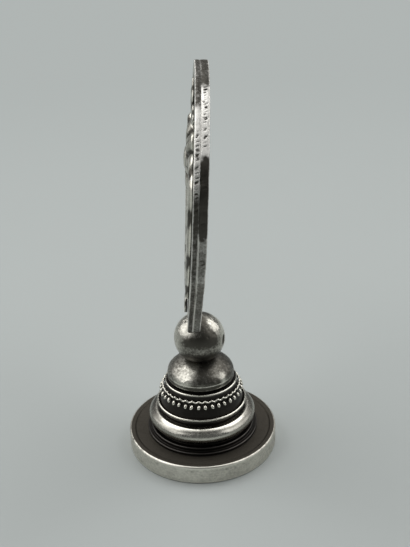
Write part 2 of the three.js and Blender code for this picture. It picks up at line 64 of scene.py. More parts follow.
def wander(points: np.ndarray, wavelength: float, seed: int, waves: int = 20) -> np.ndarray:
    """Smooth noise of about unit strength: the sum of sines sin(k . p + phase) over random directions k.

    Args:
        points: Places in millimetres, with the three coordinates last.
        wavelength: Length of the shortest wave, in millimetres.
        seed: Seed of the directions and phases.
        waves: Number of sines.

    Returns:
        One number for each place.
    """
    random = np.random.default_rng(seed)
    heading = random.normal(size=(waves, 3))
    heading /= np.linalg.norm(heading, axis=1, keepdims=True)
    pace = 2 * np.pi / (wavelength * random.uniform(1, 2.4, waves))
    phase = random.uniform(0, 2 * np.pi, waves)
    return np.sin(points @ (heading * pace[:, None]).T + phase).sum(-1) / math.sqrt(waves / 2)


def dents(points: np.ndarray, places: np.ndarray, radii: np.ndarray, depths: np.ndarray) -> np.ndarray:
    """Depth of a set of round dents: the sum of depth * exp(-(distance / radius)^2).

    Args:
        points: Places in millimetres, with the three coordinates last.
        places: Middle of each dent.
        radii: Radius of each dent.
        depths: Depth of each dent.

    Returns:
        The depth at each place.
    """
    flat = points.reshape(-1, 3)
    total = np.zeros(len(flat))
    for place, radius, depth in zip(places, radii, depths):
        total += depth * np.exp(-((flat - place) ** 2).sum(1) / radius**2)
    return total.reshape(points.shape[:-1])


def knocks(
    points: np.ndarray,
    places: np.ndarray,
    random: np.random.Generator,
    radii: tuple[float, float],
    depths: tuple[float, float],
) -> np.ndarray:
    """Depth of round dents at places, each with a radius and a depth drawn between two limits."""
    count = len(places)
    return dents(points, places, random.uniform(*radii, count), random.uniform(*depths, count))


def near(value: np.ndarray, middle: float, width: float) -> np.ndarray:
    """1 at the middle and 0 far from it: exp(-((value - middle) / width)^2), where an angle in degrees
    is taken the short way round."""
    return np.exp(-(((value - middle + 180) % 360 - 180) / width) ** 2)


def past(value: np.ndarray, edge: float | np.ndarray, softness: float) -> np.ndarray:
    """0 before the edge and 1 past it: 1 / (1 + exp((edge - value) / softness))."""
    return 1 / (1 + np.exp((edge - value) / softness))


def azimuth(points: np.ndarray) -> np.ndarray:
    """Angle of each place round +Z in degrees, 0 towards -Y and growing towards +X."""
    return np.degrees(np.arctan2(points[..., 0], -points[..., 1]))


def round_axis(radius: float, turn: np.ndarray, height: np.ndarray) -> np.ndarray:
    """Places at a radius from the stem's axis, with their azimuth in radians and their height."""
    return np.stack([radius * np.sin(turn), -radius * np.cos(turn), height], -1)


@dataclass
class Skin:
    """A grid of points with the wear and grime at each, which becomes the faces of a piece. On the die's
    rim, the ring, the bell, the ball and the plate's edge the wear also holds painted highlights and the
    grime painted shade.

    Rows run along a profile and columns round it, so that columns cross rows points outwards. Faces
    from the first to the last of second_rows take the piece's second finish.
    """

    points: np.ndarray
    wear_and_highlight: np.ndarray
    grime_and_shade: np.ndarray
    close_rows: bool = False
    first_pole: bool = False
    last_pole: bool = False
    second_rows: tuple[int, int] = (0, 0)

    def normals(self) -> np.ndarray:
        """Outward unit normals: the cross product of the steps along the columns and the rows."""
        across = np.roll(self.points, -1, 1) - np.roll(self.points, 1, 1)
        if self.close_rows:
            along = np.roll(self.points, -1, 0) - np.roll(self.points, 1, 0)
        else:
            along = np.gradient(self.points, axis=0)
        normal = np.cross(across, along)
        return normal / np.maximum(np.linalg.norm(normal, axis=-1, keepdims=True), 1e-12)

    def push(self, depth: np.ndarray) -> None:
        """Moves the points inwards by a depth in millimetres at each."""
        self.points = self.points - self.normals() * depth[..., None]

    def stain_and_shade(self, amount: np.ndarray) -> None:
        """Adds darkening at each point, kept between 0 and 1: real grime, and painted shade where a piece
        paints it.
        """
        self.grime_and_shade = np.clip(self.grime_and_shade + amount, 0, 1)

    def blacken(self, amount: np.ndarray) -> None:
        """Raises the grime to an amount at each point."""
        self.grime_and_shade = np.maximum(self.grime_and_shade, amount)

    def rub_and_highlight(self, amount: np.ndarray) -> None:
        """Raises the wear at each point to an amount: real wear, and painted highlights where a piece
        paints them.
        """
        self.wear_and_highlight = np.maximum(self.wear_and_highlight, amount)

    def faces(self) -> tuple[np.ndarray, np.ndarray, np.ndarray]:
        """The grid as vertices and faces, its poles gathered into one vertex each.

        Returns:
            Vertices, faces with four corners (the last two alike for a triangle) and a keep list of
            the grid's points.
        """
        rows, columns = self.points.shape[:2]
        number = np.arange(rows * columns).reshape(rows, columns)
        if self.first_pole:
            number[0] = number[0, 0]
        if self.last_pole:
            number[-1] = number[-1, 0]
        row = np.arange(rows if self.close_rows else rows - 1)
        here, there = number[row], number[(row + 1) % rows]
        quads = np.stack([here, np.roll(here, -1, 1), np.roll(there, -1, 1), there], -1).reshape(-1, 4)
        keep, compact = np.unique(quads, return_inverse=True)
        return self.points.reshape(-1, 3)[keep], compact.reshape(-1, 4), keep


def piece(name: str, skins: list[Skin], *materials: bpy.types.Material) -> bpy.types.Object:
    """Makes one object of one or more closed skins, with its wear and grime as attributes, which also
    hold painted highlights and painted shade.

    Args:
        name: Name of the piece.
        skins: Closed surfaces of the piece, in millimetres.
        materials: Its finish, and a second one for the rows that take it.

    Returns:
        The object, linked to the scene, at the origin.
    """
    vertices, faces, wear_and_highlight, grime_and_shade, second, start = [], [], [], [], [], 0
    for skin in skins:
        points, corners, keep = skin.faces()
        vertices.append(points * MM)
        wear_and_highlight.append(skin.wear_and_highlight.ravel()[keep])
        grime_and_shade.append(skin.grime_and_shade.ravel()[keep])
        row = np.arange(len(corners)) // skin.points.shape[1]
        second.append((row >= skin.second_rows[0]) & (row < skin.second_rows[1]))
        faces += [list(dict.fromkeys(corner)) for corner in (corners + start).tolist()]
        start += len(points)
    mesh = bpy.data.meshes.new(name)
    mesh.from_pydata(np.concatenate(vertices).tolist(), [], faces)
    for label, values in (("wear_and_highlight", wear_and_highlight), ("grime_and_shade", grime_and_shade)):
        attribute = mesh.attributes.new(label, "FLOAT", "POINT")
        attribute.data.foreach_set("value", np.concatenate(values).astype(np.float32))
    mesh.polygons.foreach_set("use_smooth", np.ones(len(faces), bool))
    for material in materials:
        mesh.materials.append(material)
    mesh.polygons.foreach_set("material_index", np.concatenate(second).astype(np.int32))
    made = bpy.data.objects.new(name, mesh)
    bpy.context.scene.collection.objects.link(made)
    return made


@dataclass
class Profile:
    """A line of corners in the plane of radius and height, listed upwards along its outside.

    Each corner is (radius, height, fillet). A fillet replaces the corner B by the curve
    (1-t)^2 A + 2t(1-t) B + t^2 C between the points A and C a fillet's length before and after it, and
    takes no more than fillet_share of a side.
    """

    corners: list[Corner]
    closed: bool = False
    spacing: float = 0.25
    wear_width: float = 0.12
    grime_width: float = 0.3
    fillet_steps: int = 5
    fillet_share: float = 0.45

    def line(self) -> tuple[np.ndarray, np.ndarray, np.ndarray]:
        """The finished line with its wear on outer edges and its grime in inner ones.

        Returns:
            Points of radius and height, wear and grime from 0 to 1.
        """
        corners = np.array(self.corners, float)
        count = len(corners)
        points, bends = [], []
        for i, (radius, height, fillet) in enumerate(corners):
            middle = np.array([radius, height])
            if not self.closed and i in (0, count - 1):
                points.append(middle[None])
                continue
            before = corners[i - 1, :2] - middle
            after = corners[(i + 1) % count, :2] - middle
            lengths = np.linalg.norm(before), np.linalg.norm(after)
            reach = min(fillet, self.fillet_share * min(lengths))
            steps = self.fillet_steps if reach > 0 else 1
            before /= lengths[0]
            after /= lengths[1]
            t = np.linspace(0, 1, steps)[:, None]
            curve = (
                (1 - t) ** 2 * (middle + before * reach)
                + 2 * t * (1 - t) * middle
                + t**2 * (middle + after * reach)
            )
            points.append(curve)
            bends.append((middle, before[1] * after[0] - before[0] * after[1]))
        line = self._filled(np.concatenate(points))
        wear_and_highlight, grime_and_shade = np.zeros(len(line)), np.zeros(len(line))
        for place, bend in bends:
            apart = np.linalg.norm(line - place, axis=1)
            if bend > 0:
                wear_and_highlight = np.maximum(wear_and_highlight, bend * np.exp(-((apart / self.wear_width) ** 2)))
            else:
                grime_and_shade = np.maximum(grime_and_shade, -bend * np.exp(-((apart / self.grime_width) ** 2)))
        return line, wear_and_highlight, grime_and_shade

    def _filled(self, line: np.ndarray) -> np.ndarray:
        """The line with points added so that none are further apart than the spacing."""
        ends = np.roll(line, -1, 0) if self.closed else line[1:]
        filled = []
        for start, end in zip(line, ends):
            steps = max(1, math.ceil(np.linalg.norm(end - start) / self.spacing))
            filled.append(start + (end - start) * np.arange(steps)[:, None] / steps)
        if not self.closed:
            filled.append(line[-1:])
        return np.concatenate(filled)

    def turned(self, sides: int) -> Skin:
        """The line turned about +Z: (r cos a, r sin a, z) for each of its points.

        Args:
            sides: Number of columns round the axis.

        Returns:
            The turned surface. An open line starts and ends on the axis.
        """
        line, wear_and_highlight, grime_and_shade = self.line()
        angle = np.arange(sides) * 2 * np.pi / sides
        points = np.stack(
            [
                np.outer(line[:, 0], np.cos(angle)),
                np.outer(line[:, 0], np.sin(angle)),
                np.repeat(line[:, 1:], sides, 1),
            ],
            -1,
        )
        ones = np.ones(sides)
        poles = not self.closed
        return Skin(points, np.outer(wear_and_highlight, ones), np.outer(grime_and_shade, ones), self.closed, poles, poles)


def arc(
    radius: float, height: float, width: float, rise: float, low: float, high: float, steps: int
) -> list[Corner]:
    """Corners without fillets along the arc (radius + width cos a, height + rise sin a), a running from
    low to high in degrees."""
    angle = np.radians(np.linspace(low, high, steps + 1))
    return [(radius + width * math.cos(a), height + rise * math.sin(a), 0) for a in angle]


def tube(path: np.ndarray, outwards: np.ndarray, radius: float, sides: int) -> Skin:
    """A closed ring of wire along a closed path: path + radius (cos a * outwards + sin a * up).

    Args:
        path: Middle line, one point for each column.
        outwards: Unit vector away from the axis at each point.
        radius: Half the wire's thickness.
        sides: Number of points round the section.

    Returns:
        The ring, with wear all over its outside and grime behind it.
    """
    angle = np.arange(sides)[:, None] * 2 * np.pi / sides
    up = np.array([0, 0, 1.0])
    points = path + radius * (np.cos(angle)[..., None] * outwards + np.sin(angle)[..., None] * up)
    facing = np.cos(angle) * np.ones(len(path))
    return Skin(points, np.clip(facing, 0, 1), np.clip(-facing, 0, 1), close_rows=True)


# Finishes


class Field:
    """A number that varies over a surface: a socket of a material's nodes, with arithmetic on it."""

    def __init__(self, shader: "Shader", socket: bpy.types.NodeSocket) -> None:
        """Keeps the socket and the shader that it belongs to."""
        self.shader = shader
        self.socket = socket

    def _maths(self, operation: str, *values: "Field | float") -> "Field":
        """A Math node of an operation on this field and others, in the order given."""
        inputs = dict(enumerate(values))
        return Field(self.shader, self.shader.node("Math", {"operation": operation}, inputs).outputs[0])

    def __add__(self, other: "Field | float") -> "Field":
        """This field plus another or a number."""
        return self._maths("ADD", self, other)

    __radd__ = __add__

    def __mul__(self, other: "Field | float") -> "Field":
        """This field times another or a number."""
        return self._maths("MULTIPLY", self, other)

    def __sub__(self, other: "Field | float") -> "Field":
        """This field less another or a number."""
        return self._maths("SUBTRACT", self, other)

    def __rsub__(self, other: float) -> "Field":
        """A number less this field."""
        return self._maths("SUBTRACT", other, self)

    def __pow__(self, other: float) -> "Field":
        """This field to a power."""
        return self._maths("POWER", self, other)

    def ramp(self, low: float, high: float) -> "Field":
        """0 below low, 1 above high and a smooth step between them; high may lie below low."""
        made = self.shader.node(
            "MapRange",
            {"interpolation_type": "SMOOTHSTEP"},
            {"Value": self, "From Min": low, "From Max": high, "To Min": 0.0, "To Max": 1.0},
        )
        return Field(self.shader, made.outputs[0])

    def clamp(self) -> "Field":
        """This field held between 0 and 1."""
        made = self.shader.node("Clamp", {}, {"Value": self, "Min": 0.0, "Max": 1.0})
        return Field(self.shader, made.outputs[0])


class Shader:
    """The node tree of one material."""

    def __init__(self, name: str) -> None:
        """Starts an empty material of that name."""
        self.material = bpy.data.materials.new(name)
        self.material.use_nodes = True
        self.tree = self.material.node_tree
        self.tree.nodes.clear()

    def node(self, kind: str, settings: dict, inputs: dict) -> bpy.types.Node:
        """Adds a node.

        Args:
            kind: Its type, without ShaderNode in front.
            settings: Its properties, set before its sockets.
            inputs: A value, a Field or a socket for each input, by name or number.

        Returns:
            The node.
        """
        made = self.tree.nodes.new("ShaderNode" + kind)
        for key, value in settings.items():
            setattr(made, key, value)
        for key, value in inputs.items():
            socket = made.inputs[key]
            if isinstance(value, Field):
                value = value.socket
            if isinstance(value, bpy.types.NodeSocket):
                self.tree.links.new(value, socket)
            else:
                socket.default_value = value
        return made

    def place(self, stretch: Place = (1, 1, 1)) -> bpy.types.NodeSocket:
        """Object coordinates in millimetres, each multiplied by a stretch."""
        coordinates = self.node("TexCoord", {}, {}).outputs["Object"]
        scale = tuple(s / MM for s in stretch)
        made = self.node("VectorMath", {"operation": "MULTIPLY"}, {0: coordinates, 1: scale})
        return made.outputs[0]

    def turning(self) -> bpy.types.NodeSocket:
        """Coordinates of a turned piece in millimetres: distance from the axis, height, and a little of
        the angle, so that a noise on them runs in lines round the axis."""
        split = self.node("SeparateXYZ", {}, {0: self.place()})
        x, y, z = (Field(self, split.outputs[i]) for i in range(3))
        radius = (x * x + y * y) ** 0.5
        turn = Field(self, self.node("Math", {"operation": "ARCTAN2"}, {0: y, 1: x}).outputs[0])
        joined = self.node("CombineXYZ", {}, {0: radius, 1: z, 2: turn * 0.25})
        return joined.outputs[0]

    def noise(self, vector: bpy.types.NodeSocket, scale: float, detail: float, roughness: float) -> Field:
        """Noise from 0 to 1 with a scale in waves per millimetre."""
        inputs = {"Vector": vector, "Scale": scale, "Detail": detail, "Roughness": roughness}
        return Field(self, self.node("TexNoise", {}, inputs).outputs[0])

    def attribute(self, name: str) -> Field:
        """A piece's own attribute."""
        return Field(self, self.node("Attribute", {"attribute_name": name}, {}).outputs["Fac"])

    def blend(self, factor: Field, first: Colour, second: Colour) -> bpy.types.NodeSocket:
        """A colour between two, by a factor from 0 to 1."""
        inputs = {0: factor, 6: (*first, 1.0), 7: (*second, 1.0)}
        return self.node("Mix", {"data_type": "RGBA"}, inputs).outputs[2]

    def finish(self, shader: bpy.types.Node) -> bpy.types.Material:
        """Ends the tree in a shader node and returns the material."""
        self.node("OutputMaterial", {}, {0: shader.outputs[0]})
        return self.material


class Grain(Enum):
    """How the metal was worked, which gives the direction of its finest marks."""

    TURNED = "lines round the axis"
    FILED = "short strokes along Z"
    CAST = "fine pits all over"


@dataclass(frozen=True)
class Silver:
    """Silver with tarnish that clouds over it, gathers in hollows and is rubbed off edges, and with painted
    shade and painted highlights laid on through the same grime and wear.

    Cover is the tarnish's mean share; cloud, speckle, hollow, the rubbing weight and streak say how far
    slow clouds, fine specks, grime with painted shade, wear with painted highlights and the working
    marks change it. Gloss is the clean metal's roughness, dulling what tarnish adds, speckle_dulling
    and scratch_dulling what specks and scratches add, and spread how far the file's strokes draw out a
    highlight. Depths are millimetres.
    """

    name: str
    grain: Grain
    clean: Colour = (0.78, 0.757, 0.675)
    tarnish: Colour = (0.08, 0.075, 0.064)
    cover: float = 0.3
    cloud: float = 1.1
    speckle: float = 0.9
    hollow: float = 0.9
    rub_and_highlight: float = 0.8
    streak: float = 0.3
    gloss: float = 0.16
    dulling: float = 0.16
    speckle_dulling: float = 0.16
    scratch_dulling: float = 0.08
    spread: float = 0.0
    grain_depth: float = 0.002
    pit_depth: float = 0.004
    scratch_depth: float = 0.003
    scratch_fineness: float = 40.0

    def material(self) -> bpy.types.Material:
        """The finish as a material, made once: its tarnish mixes the two colours and dulls the gloss,
        while marks, pits and scratches show as relief."""
        known = bpy.data.materials.get(self.name)
        if known:
            return known
        shader = Shader(self.name)
        place = shader.place()
        clouds = shader.noise(place, scale=0.2, detail=4, roughness=0.62)
        speckle = shader.noise(place, scale=2.2, detail=3, roughness=0.66)
        marks = self._marks(shader)
        wear_and_highlight, grime_and_shade = shader.attribute("wear_and_highlight"), shader.attribute("grime_and_shade")
        cover = self.cover + (clouds - 0.5) * self.cloud + (speckle - 0.5) * self.speckle
        # Grime and painted shade darken the silver; wear and painted highlights clear it.
        cover = cover + grime_and_shade * self.hollow + (marks - 0.5) * self.streak - wear_and_highlight * self.rub_and_highlight
        patina = cover.ramp(low=-0.05, high=1.0)
        colour = shader.blend(patina, self.clean, self.tarnish)
        pits = shader.noise(place, scale=5.5, detail=2, roughness=0.6).ramp(low=0.64, high=0.78)
        scratches = self._scratches(shader)
        rough = self.gloss + patina * self.dulling + (speckle - 0.5) * self.speckle_dulling
        rough = rough + scratches * self.scratch_dulling
        height = marks * self.grain_depth - pits * self.pit_depth - scratches * self.scratch_depth
        bump = shader.node("Bump", {}, {"Strength": 1.0, "Distance": MM, "Height": height})
        inputs = {
            "Base Color": colour,
            "Metallic": 1.0,
            "Roughness": rough.clamp(),
            "Normal": bump.outputs[0],
            "Anisotropic": self.spread,
        }
        return shader.finish(shader.node("BsdfPrincipled", {}, inputs))

    def _marks(self, shader: Shader) -> Field:
        """The finest marks of the way the metal was worked, from 0 to 1."""
        if self.grain is Grain.TURNED:
            return shader.noise(shader.turning(), scale=9.0, detail=3, roughness=0.65)
        if self.grain is Grain.FILED:
            return shader.noise(shader.place((7, 1.2, 0.8)), scale=1.0, detail=3, roughness=0.6)
        return shader.noise(shader.place(), scale=4.2, detail=3, roughness=0.6)

    def _scratches(self, shader: Shader) -> Field:
        """Hair scratches: thin level lines of two slow noises that run in crossing directions."""
        lines = []
        for stretch in ((1.4, 0.35, 0.3), (0.35, 0.8, 1.6)):
            level = shader.noise(shader.place(stretch), scale=1.0, detail=1.5, roughness=0.5)
            apart = (level - 0.5) * self.scratch_fineness
            lines.append(1.0 - (apart * apart).ramp(low=0.0, high=1.0))
        return (lines[0] + lines[1]).clamp()


@dataclass(frozen=True)
class Finishes:
    """The finishes of the seal: filed is for the plate's edge and flat for its faces."""

    die: Silver = Silver(
        "satin_silver_die",
        Grain.TURNED,
        tarnish=(0.07, 0.063, 0.052),
        cover=0.28,
        cloud=0.6,
        speckle=0.6,
        gloss=0.3,
        dulling=0.3,
    )
    dome: Silver = Silver(
        "satin_silver_dome", Grain.CAST, cover=0.36, cloud=0.6, speckle=1.0, gloss=0.24, grain_depth=0.005
    )
    ball: Silver = Silver(
        "satin_silver_ball", Grain.CAST, cover=0.3, cloud=0.6, speckle=1.0, gloss=0.22, grain_depth=0.005
    )
    filed: Silver = Silver(
        "satin_silver_filed",
        Grain.FILED,
        clean=(0.93, 0.91, 0.86),
        cover=0.35,
        cloud=0.6,
        speckle=0.9,
        grain_depth=0.005,
        pit_depth=0.008,
        gloss=0.46,
        dulling=0,
        spread=0.95,
    )
    flat: Silver = Silver("satin_silver_flat", Grain.FILED, cover=0.36, cloud=0.9, speckle=0.5, gloss=0.24)
    cast: Silver = Silver(
        "satin_silver_cast", Grain.CAST, cover=0.48, cloud=0.5, speckle=0.6, hollow=1.1, gloss=0.28
    )
    bright: Silver = Silver(
        "polished_silver_rings", Grain.TURNED, cover=0.1, cloud=0.5, speckle=0.28, gloss=0.17, dulling=0.15
    )
    black: Silver = Silver(
        "blackened_silver_turned",
        Grain.TURNED,
        clean=(0.16, 0.15, 0.14),
        tarnish=(0.026, 0.0235, 0.021),
        cover=0.85,
        cloud=0.35,
        speckle=0.3,
        rub_and_highlight=0.5,
        gloss=0.26,
        dulling=0.1,
    )
    steel: Silver = Silver(
        "pin_steel_dull",
        Grain.TURNED,
        clean=(0.3, 0.29, 0.28),
        tarnish=(0.02, 0.018, 0.016),
        cover=0.7,
        gloss=0.35,
    )


# The seal


def box(node: str) -> tuple[np.ndarray, np.ndarray]:
    """Lowest and highest corner of a node of the frame, in millimetres."""
    low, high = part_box(node)
    return np.array(low) / MM, np.array(high) / MM


def fit(made: bpy.types.Object, node: str) -> None:
    """Lets a piece stand for a node of the frame: hangs it on the root body, hides the node and logs its
    faces.
    """
    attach(made, "root")
    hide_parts(node)
    log.info("%s: %d faces, for %s", made.name, len(made.data.polygons), node)


@dataclass
class Die:
    """The printing disc: a dished top inside a chamfered rim, and a flower cut into its face."""

    chamfer: float = 0.18
    land: float = 0.75
    dish: float = 0.2
    border_radius: float = 11
    border_width: float = 0.6
    border_depth: float = 0.25
    petals: int = 8
    petal_inner: float = 2.4
    petal_outer: float = 9.6
    petal_width: float = 3.4
    petal_depth: float = 0.5
    knock_count: int = 60
    nick_turn: float = 1.38
    nick_height: float = 0.9
    nick_width: float = 0.42
    nick_depth: float = 0.35
    sides: int = 480

    def engraving(self, x: np.ndarray, y: np.ndarray) -> np.ndarray:
        """Depth of the device at each place: a V-shaped border line, and in each petal a round hollow
        between two parabolas y = +-2 w s (1 - s), s being the share of the petal's length."""
        radius = np.hypot(x, y)
        line = 1 - np.abs(radius - self.border_radius) / (self.border_width / 2)
        border = self.border_depth * np.clip(line, 0, 1)
        step = 2 * np.pi / self.petals
        turn = np.mod(np.arctan2(y, x), step) - step / 2
        along = radius * np.cos(turn)
        aside = radius * np.sin(turn)
        share = np.clip((along - self.petal_inner) / (self.petal_outer - self.petal_inner), 0, 1)
        half = np.maximum(2 * self.petal_width * share * (1 - share), 1e-6)
        inside = np.clip(1 - (aside / half) ** 2, 0, 1) * (half > 0.01)
        return np.maximum(border, self.petal_depth * inside**0.5 * np.minimum(1, half / 0.6))

    def _nicks(self, skin: Skin, radius: float) -> None:
        """Knocks along the rim and one deep nick on its right-hand side."""
        random = np.random.default_rng(5)
        turn = np.radians(random.uniform(0, 360, self.knock_count))
        levels = [0.15, 0.6, 1.4, 2.4, 3.2]
        height = random.choice(levels, self.knock_count) + random.normal(0, 0.12, self.knock_count)
        places = round_axis(radius, turn, height)
        shallow = knocks(skin.points, places, random, radii=(0.12, 0.34), depths=(0.01, 0.05))
        nick = round_axis(radius, np.array([self.nick_turn]), np.array([self.nick_height]))
        deep = dents(skin.points, nick, [self.nick_width], [self.nick_depth])
        skin.push(shallow + deep)
        skin.stain_and_shade(6 * shallow + 3 * deep)

    def build(self, finishes: Finishes) -> None:
        """Makes the die."""
        radius, _, top = box("die_disc")[1]
        rim, floor = radius - self.chamfer, top - self.dish
        corners = [
            (0, 0, 0),
            (rim, 0, 0.08),
            (radius, self.chamfer, 0.15),
            (radius, top - self.chamfer, 0.12),
            (rim, top, 0.12),
            (rim - self.land, top, 0.2),
            (rim - self.land - self.dish, floor, 0.2),
            (0, floor, 0),
        ]
        skin = Profile(corners, spacing=0.12, wear_width=0.2, grime_width=0.5).turned(self.sides)
        x, y, z = np.moveaxis(skin.points, -1, 0)
        depth = self.engraving(x, y) * (z < 0.01)
        skin.points[..., 2] += depth
        skin.blacken(0.8 * np.clip(depth / self.petal_depth, 0, 1))
        out, turn = np.hypot(x, y), azimuth(skin.points)
        dished = np.clip((rim - 0.05 - out) / 0.15, 0, 1) * (z > floor - 0.01)
        skin.blacken(dished)
        # No wear on the blackened top; away from the front (-Y) the rim's wear is halved, so the front
        # keeps a painted highlight.
        skin.wear_and_highlight *= (1 - dished) * (0.5 + 0.5 * near(turn, -8, 35))
        # Painted shade: the top of the rim is darkened, least towards the front.
        rim_top = np.clip((out - rim + 0.25) / 0.1, 0, 1) * np.clip((z - top + 0.3) / 0.1, 0, 1)
        skin.stain_and_shade(0.4 * rim_top * (1 - near(turn, -8, 30)))
        self._nicks(skin, radius)
        made = piece("engraved_die", [skin], finishes.die.material())
        fit(made, "die_disc")


@dataclass
class Stem:
    """Everything turned between the die and the ball."""

    bore: float = 1.25
    low_step_rise: float = 0.58
    high_step_radius: float = 9.1
    high_step_rise: float = 0.68
    drum_radius: float = 8.25
    collar_foot_radius: float = 7.15
    flange_rise: float = 0.62
    cone_base_radius: float = 7.36
    cone_top_radius: float = 6.15
    neck_radius: float = 5.5
    neck_rise: float = 0.8
    ring_room: float = 0.05
    ring_width: float = 2.28
    ring_middle: float = 0.99
    ring_end: float = 62
    bell_band: float = 0.72
    bell_crown_radius: float = 2.3
    beads: int = 38
    bead_width: float = 0.31
    bead_rows: int = 11
    bead_sides: int = 14
    wave_steps: int = 14
    wire_sides: int = 10
    wave_width: float = 0.15
    wave_lift: float = 0.12
    sides: int = 360

    def _turn(
        self, name: str, corners: list[Corner], finish: Silver, slot: str, node: str, **options: float
    ) -> None:
        """Makes one turned ring from its closed profile."""
        skin = Profile(corners, closed=True, **options).turned(self.sides)
        skin.push(0.008 * wander(skin.points, 3.0, len(name)))
        fit(piece(name, [skin], finish.material()), node)

    def build(self, finishes: Finishes) -> None:
        """Makes the turned pieces and the wires."""
        self._plinth(finishes)
        self._ring(finishes)
        self._collar(finishes)
        self._wires(finishes)
        self._beading(finishes)
        self._bell(finishes)

    def _plinth(self, finishes: Finishes) -> None:
        """Two low steps and the drum that carries the bright ring."""
        low, high = box("stepped_plinth")
        step, ledge = low[2] + self.low_step_rise, low[2] + self.low_step_rise + self.high_step_rise
        corners = [
            (self.bore, low[2], 0),
            (high[0], low[2], 0.05),
            (high[0], step, 0.2),
            (self.high_step_radius, step, 0.1),
            (self.high_step_radius, ledge, 0.2),
            (self.drum_radius, ledge, 0.1),
            (self.drum_radius, high[2], 0.05),
            (self.bore, high[2], 0),
        ]
        self._turn("stepped_foot", corners, finishes.black, "blackened_silver", "stepped_plinth")

    def _ring(self, finishes: Finishes) -> None:
        """The bright ring: an elliptic arc that ends in an edge under the collar, darkened with painted
        shade below its crest and, at the sides, on the crest too.
        """
        low, high = box("bright_ring")
        inner = self.collar_foot_radius + self.ring_room
        middle, end = low[2] + self.ring_middle, self.ring_end
        rise = (high[2] - middle) / math.sin(math.radians(end))
        foot = math.degrees(math.asin((low[2] - middle) / rise))
        corners = [
            (inner, low[2], 0),
            *arc(high[0] - self.ring_width, middle, self.ring_width, rise, foot, end, 40),
            (inner, high[2], 0),
        ]
        skin = Profile(corners, closed=True).turned(self.sides)
        skin.push(0.01 * wander(skin.points, 3.0, 15))
        height = (skin.points[..., 2] - low[2]) / (high[2] - low[2]) + 0.02 * wander(skin.points, 2.0, 16)
        turn = azimuth(skin.points)
        # Painted shade: below a brim that sits lower on the left and a little on the right the ring is
        # darkened, less at the front; a dark line runs under the crest at the front, and the crest darkens
        # at the sides past 54 degrees.
        brim = 0.94 - 0.13 * near(turn, -50, 24) - 0.04 * near(turn, 48, 20)
        belly = 1 - past(height, brim, 0.02)
        skin.stain_and_shade(belly * (0.6 - 0.3 * near(turn, 5, 35)))
        skin.stain_and_shade(0.3 * near(height, 0.86, 0.05) * near(turn, 5, 60))
        skin.stain_and_shade(0.75 * past(np.abs(turn), 54, 4) * (1 - belly))
        fit(piece("bright_band", [skin], finishes.bright.material()), "bright_ring")

    def _collar(self, finishes: Finishes) -> None:
        """The blackened tapered collar."""
        low, high = box("tapered_collar")
        bell_foot = high[2]
        cone_top = bell_foot - self.neck_rise
        cone_base = box("lower_wire")[0][2]
        corners = [
            (self.bore, low[2], 0),
            (self.collar_foot_radius, low[2], 0),
            (self.collar_foot_radius, cone_base - self.flange_rise, 0.15),
            (high[0], cone_base - self.flange_rise / 2, 0.15),
            (high[0], cone_base, 0.08),
            (self.cone_base_radius, cone_base, 0.05),
            (self.cone_top_radius, cone_top, 0.05),
            (self.neck_radius, cone_top, 0.1),
            (self.neck_radius, bell_foot, 0),
            (self.bore, bell_foot, 0),
        ]
        self._turn("cone_collar", corners, finishes.black, "blackened_silver", "tapered_collar")

    def _wires(self, finishes: Finishes) -> None:
        """The two plain round wires."""
        for name, node in (("foot_wire", "lower_wire"), ("head_wire", "upper_wire")):
            low, high = box(node)
            half = (high[2] - low[2]) / 2
            corners = arc(high[0] - half, low[2] + half, half, half, -180, 170, 35)
            self._turn(name, corners, finishes.bright, "polished_silver", node, spacing=1.0)

    def _beading(self, finishes: Finishes) -> None:
        """The drops and the waved wire over them, one wave over each drop."""
        low, high = box("bead_row")
        slope = (self.cone_top_radius - self.cone_base_radius) / (
            box("upper_wire")[0][2] - box("lower_wire")[0][2]
        )
        half, middle = (high[2] - low[2]) / 2, (low[2] + high[2]) / 2
        latitude = np.radians(np.linspace(-90, 90, self.bead_rows))[:, None]
        longitude = np.radians(np.arange(self.bead_sides) * 360 / self.bead_sides)
        facing = np.cos(latitude) * np.cos(longitude)
        local = np.stack(
            [
                self.bead_width * facing,
                self.bead_width * np.cos(latitude) * np.sin(longitude),
                half * np.sin(latitude) * np.ones_like(longitude),
            ],
            -1,
        )
        local[..., 0] += slope * local[..., 2]
        wear_and_highlight, grime_and_shade = np.clip(facing, 0, 1), np.clip(-facing, 0, 1)
        random = np.random.default_rng(3)
        skins = []
        for i in range(self.beads):
            turn = 2 * np.pi * (i + random.normal(0, 0.03)) / self.beads
            cosine, sine = math.cos(turn), math.sin(turn)
            lean = math.tan(random.normal(0, 0.12))
            size = random.uniform(0.86, 1)
            out = high[0] - self.bead_width + size * local[..., 0]
            aside = size * local[..., 1] + lean * local[..., 2]
            height = middle + size * local[..., 2]
            points = np.stack([out * cosine - aside * sine, out * sine + aside * cosine, height], -1)
            skins.append(Skin(points, wear_and_highlight, grime_and_shade, first_pole=True, last_pole=True))
        fit(piece("drop_beads", skins, finishes.bright.material()), "bead_row")
        low, high = box("waved_wire")
        steps = self.wave_steps * self.beads
        turn = np.arange(steps) * 2 * np.pi / steps
        outwards = np.stack([np.cos(turn), np.sin(turn), 0 * turn], -1)
        path = (high[0] - self.wave_width) * outwards
        path[:, 2] = (low[2] + high[2]) / 2 + self.wave_lift * np.cos(self.beads * turn)
        skin = tube(path, outwards, self.wave_width, self.wire_sides)
        fit(piece("wavy_wire", [skin], finishes.bright.material()), "waved_wire")

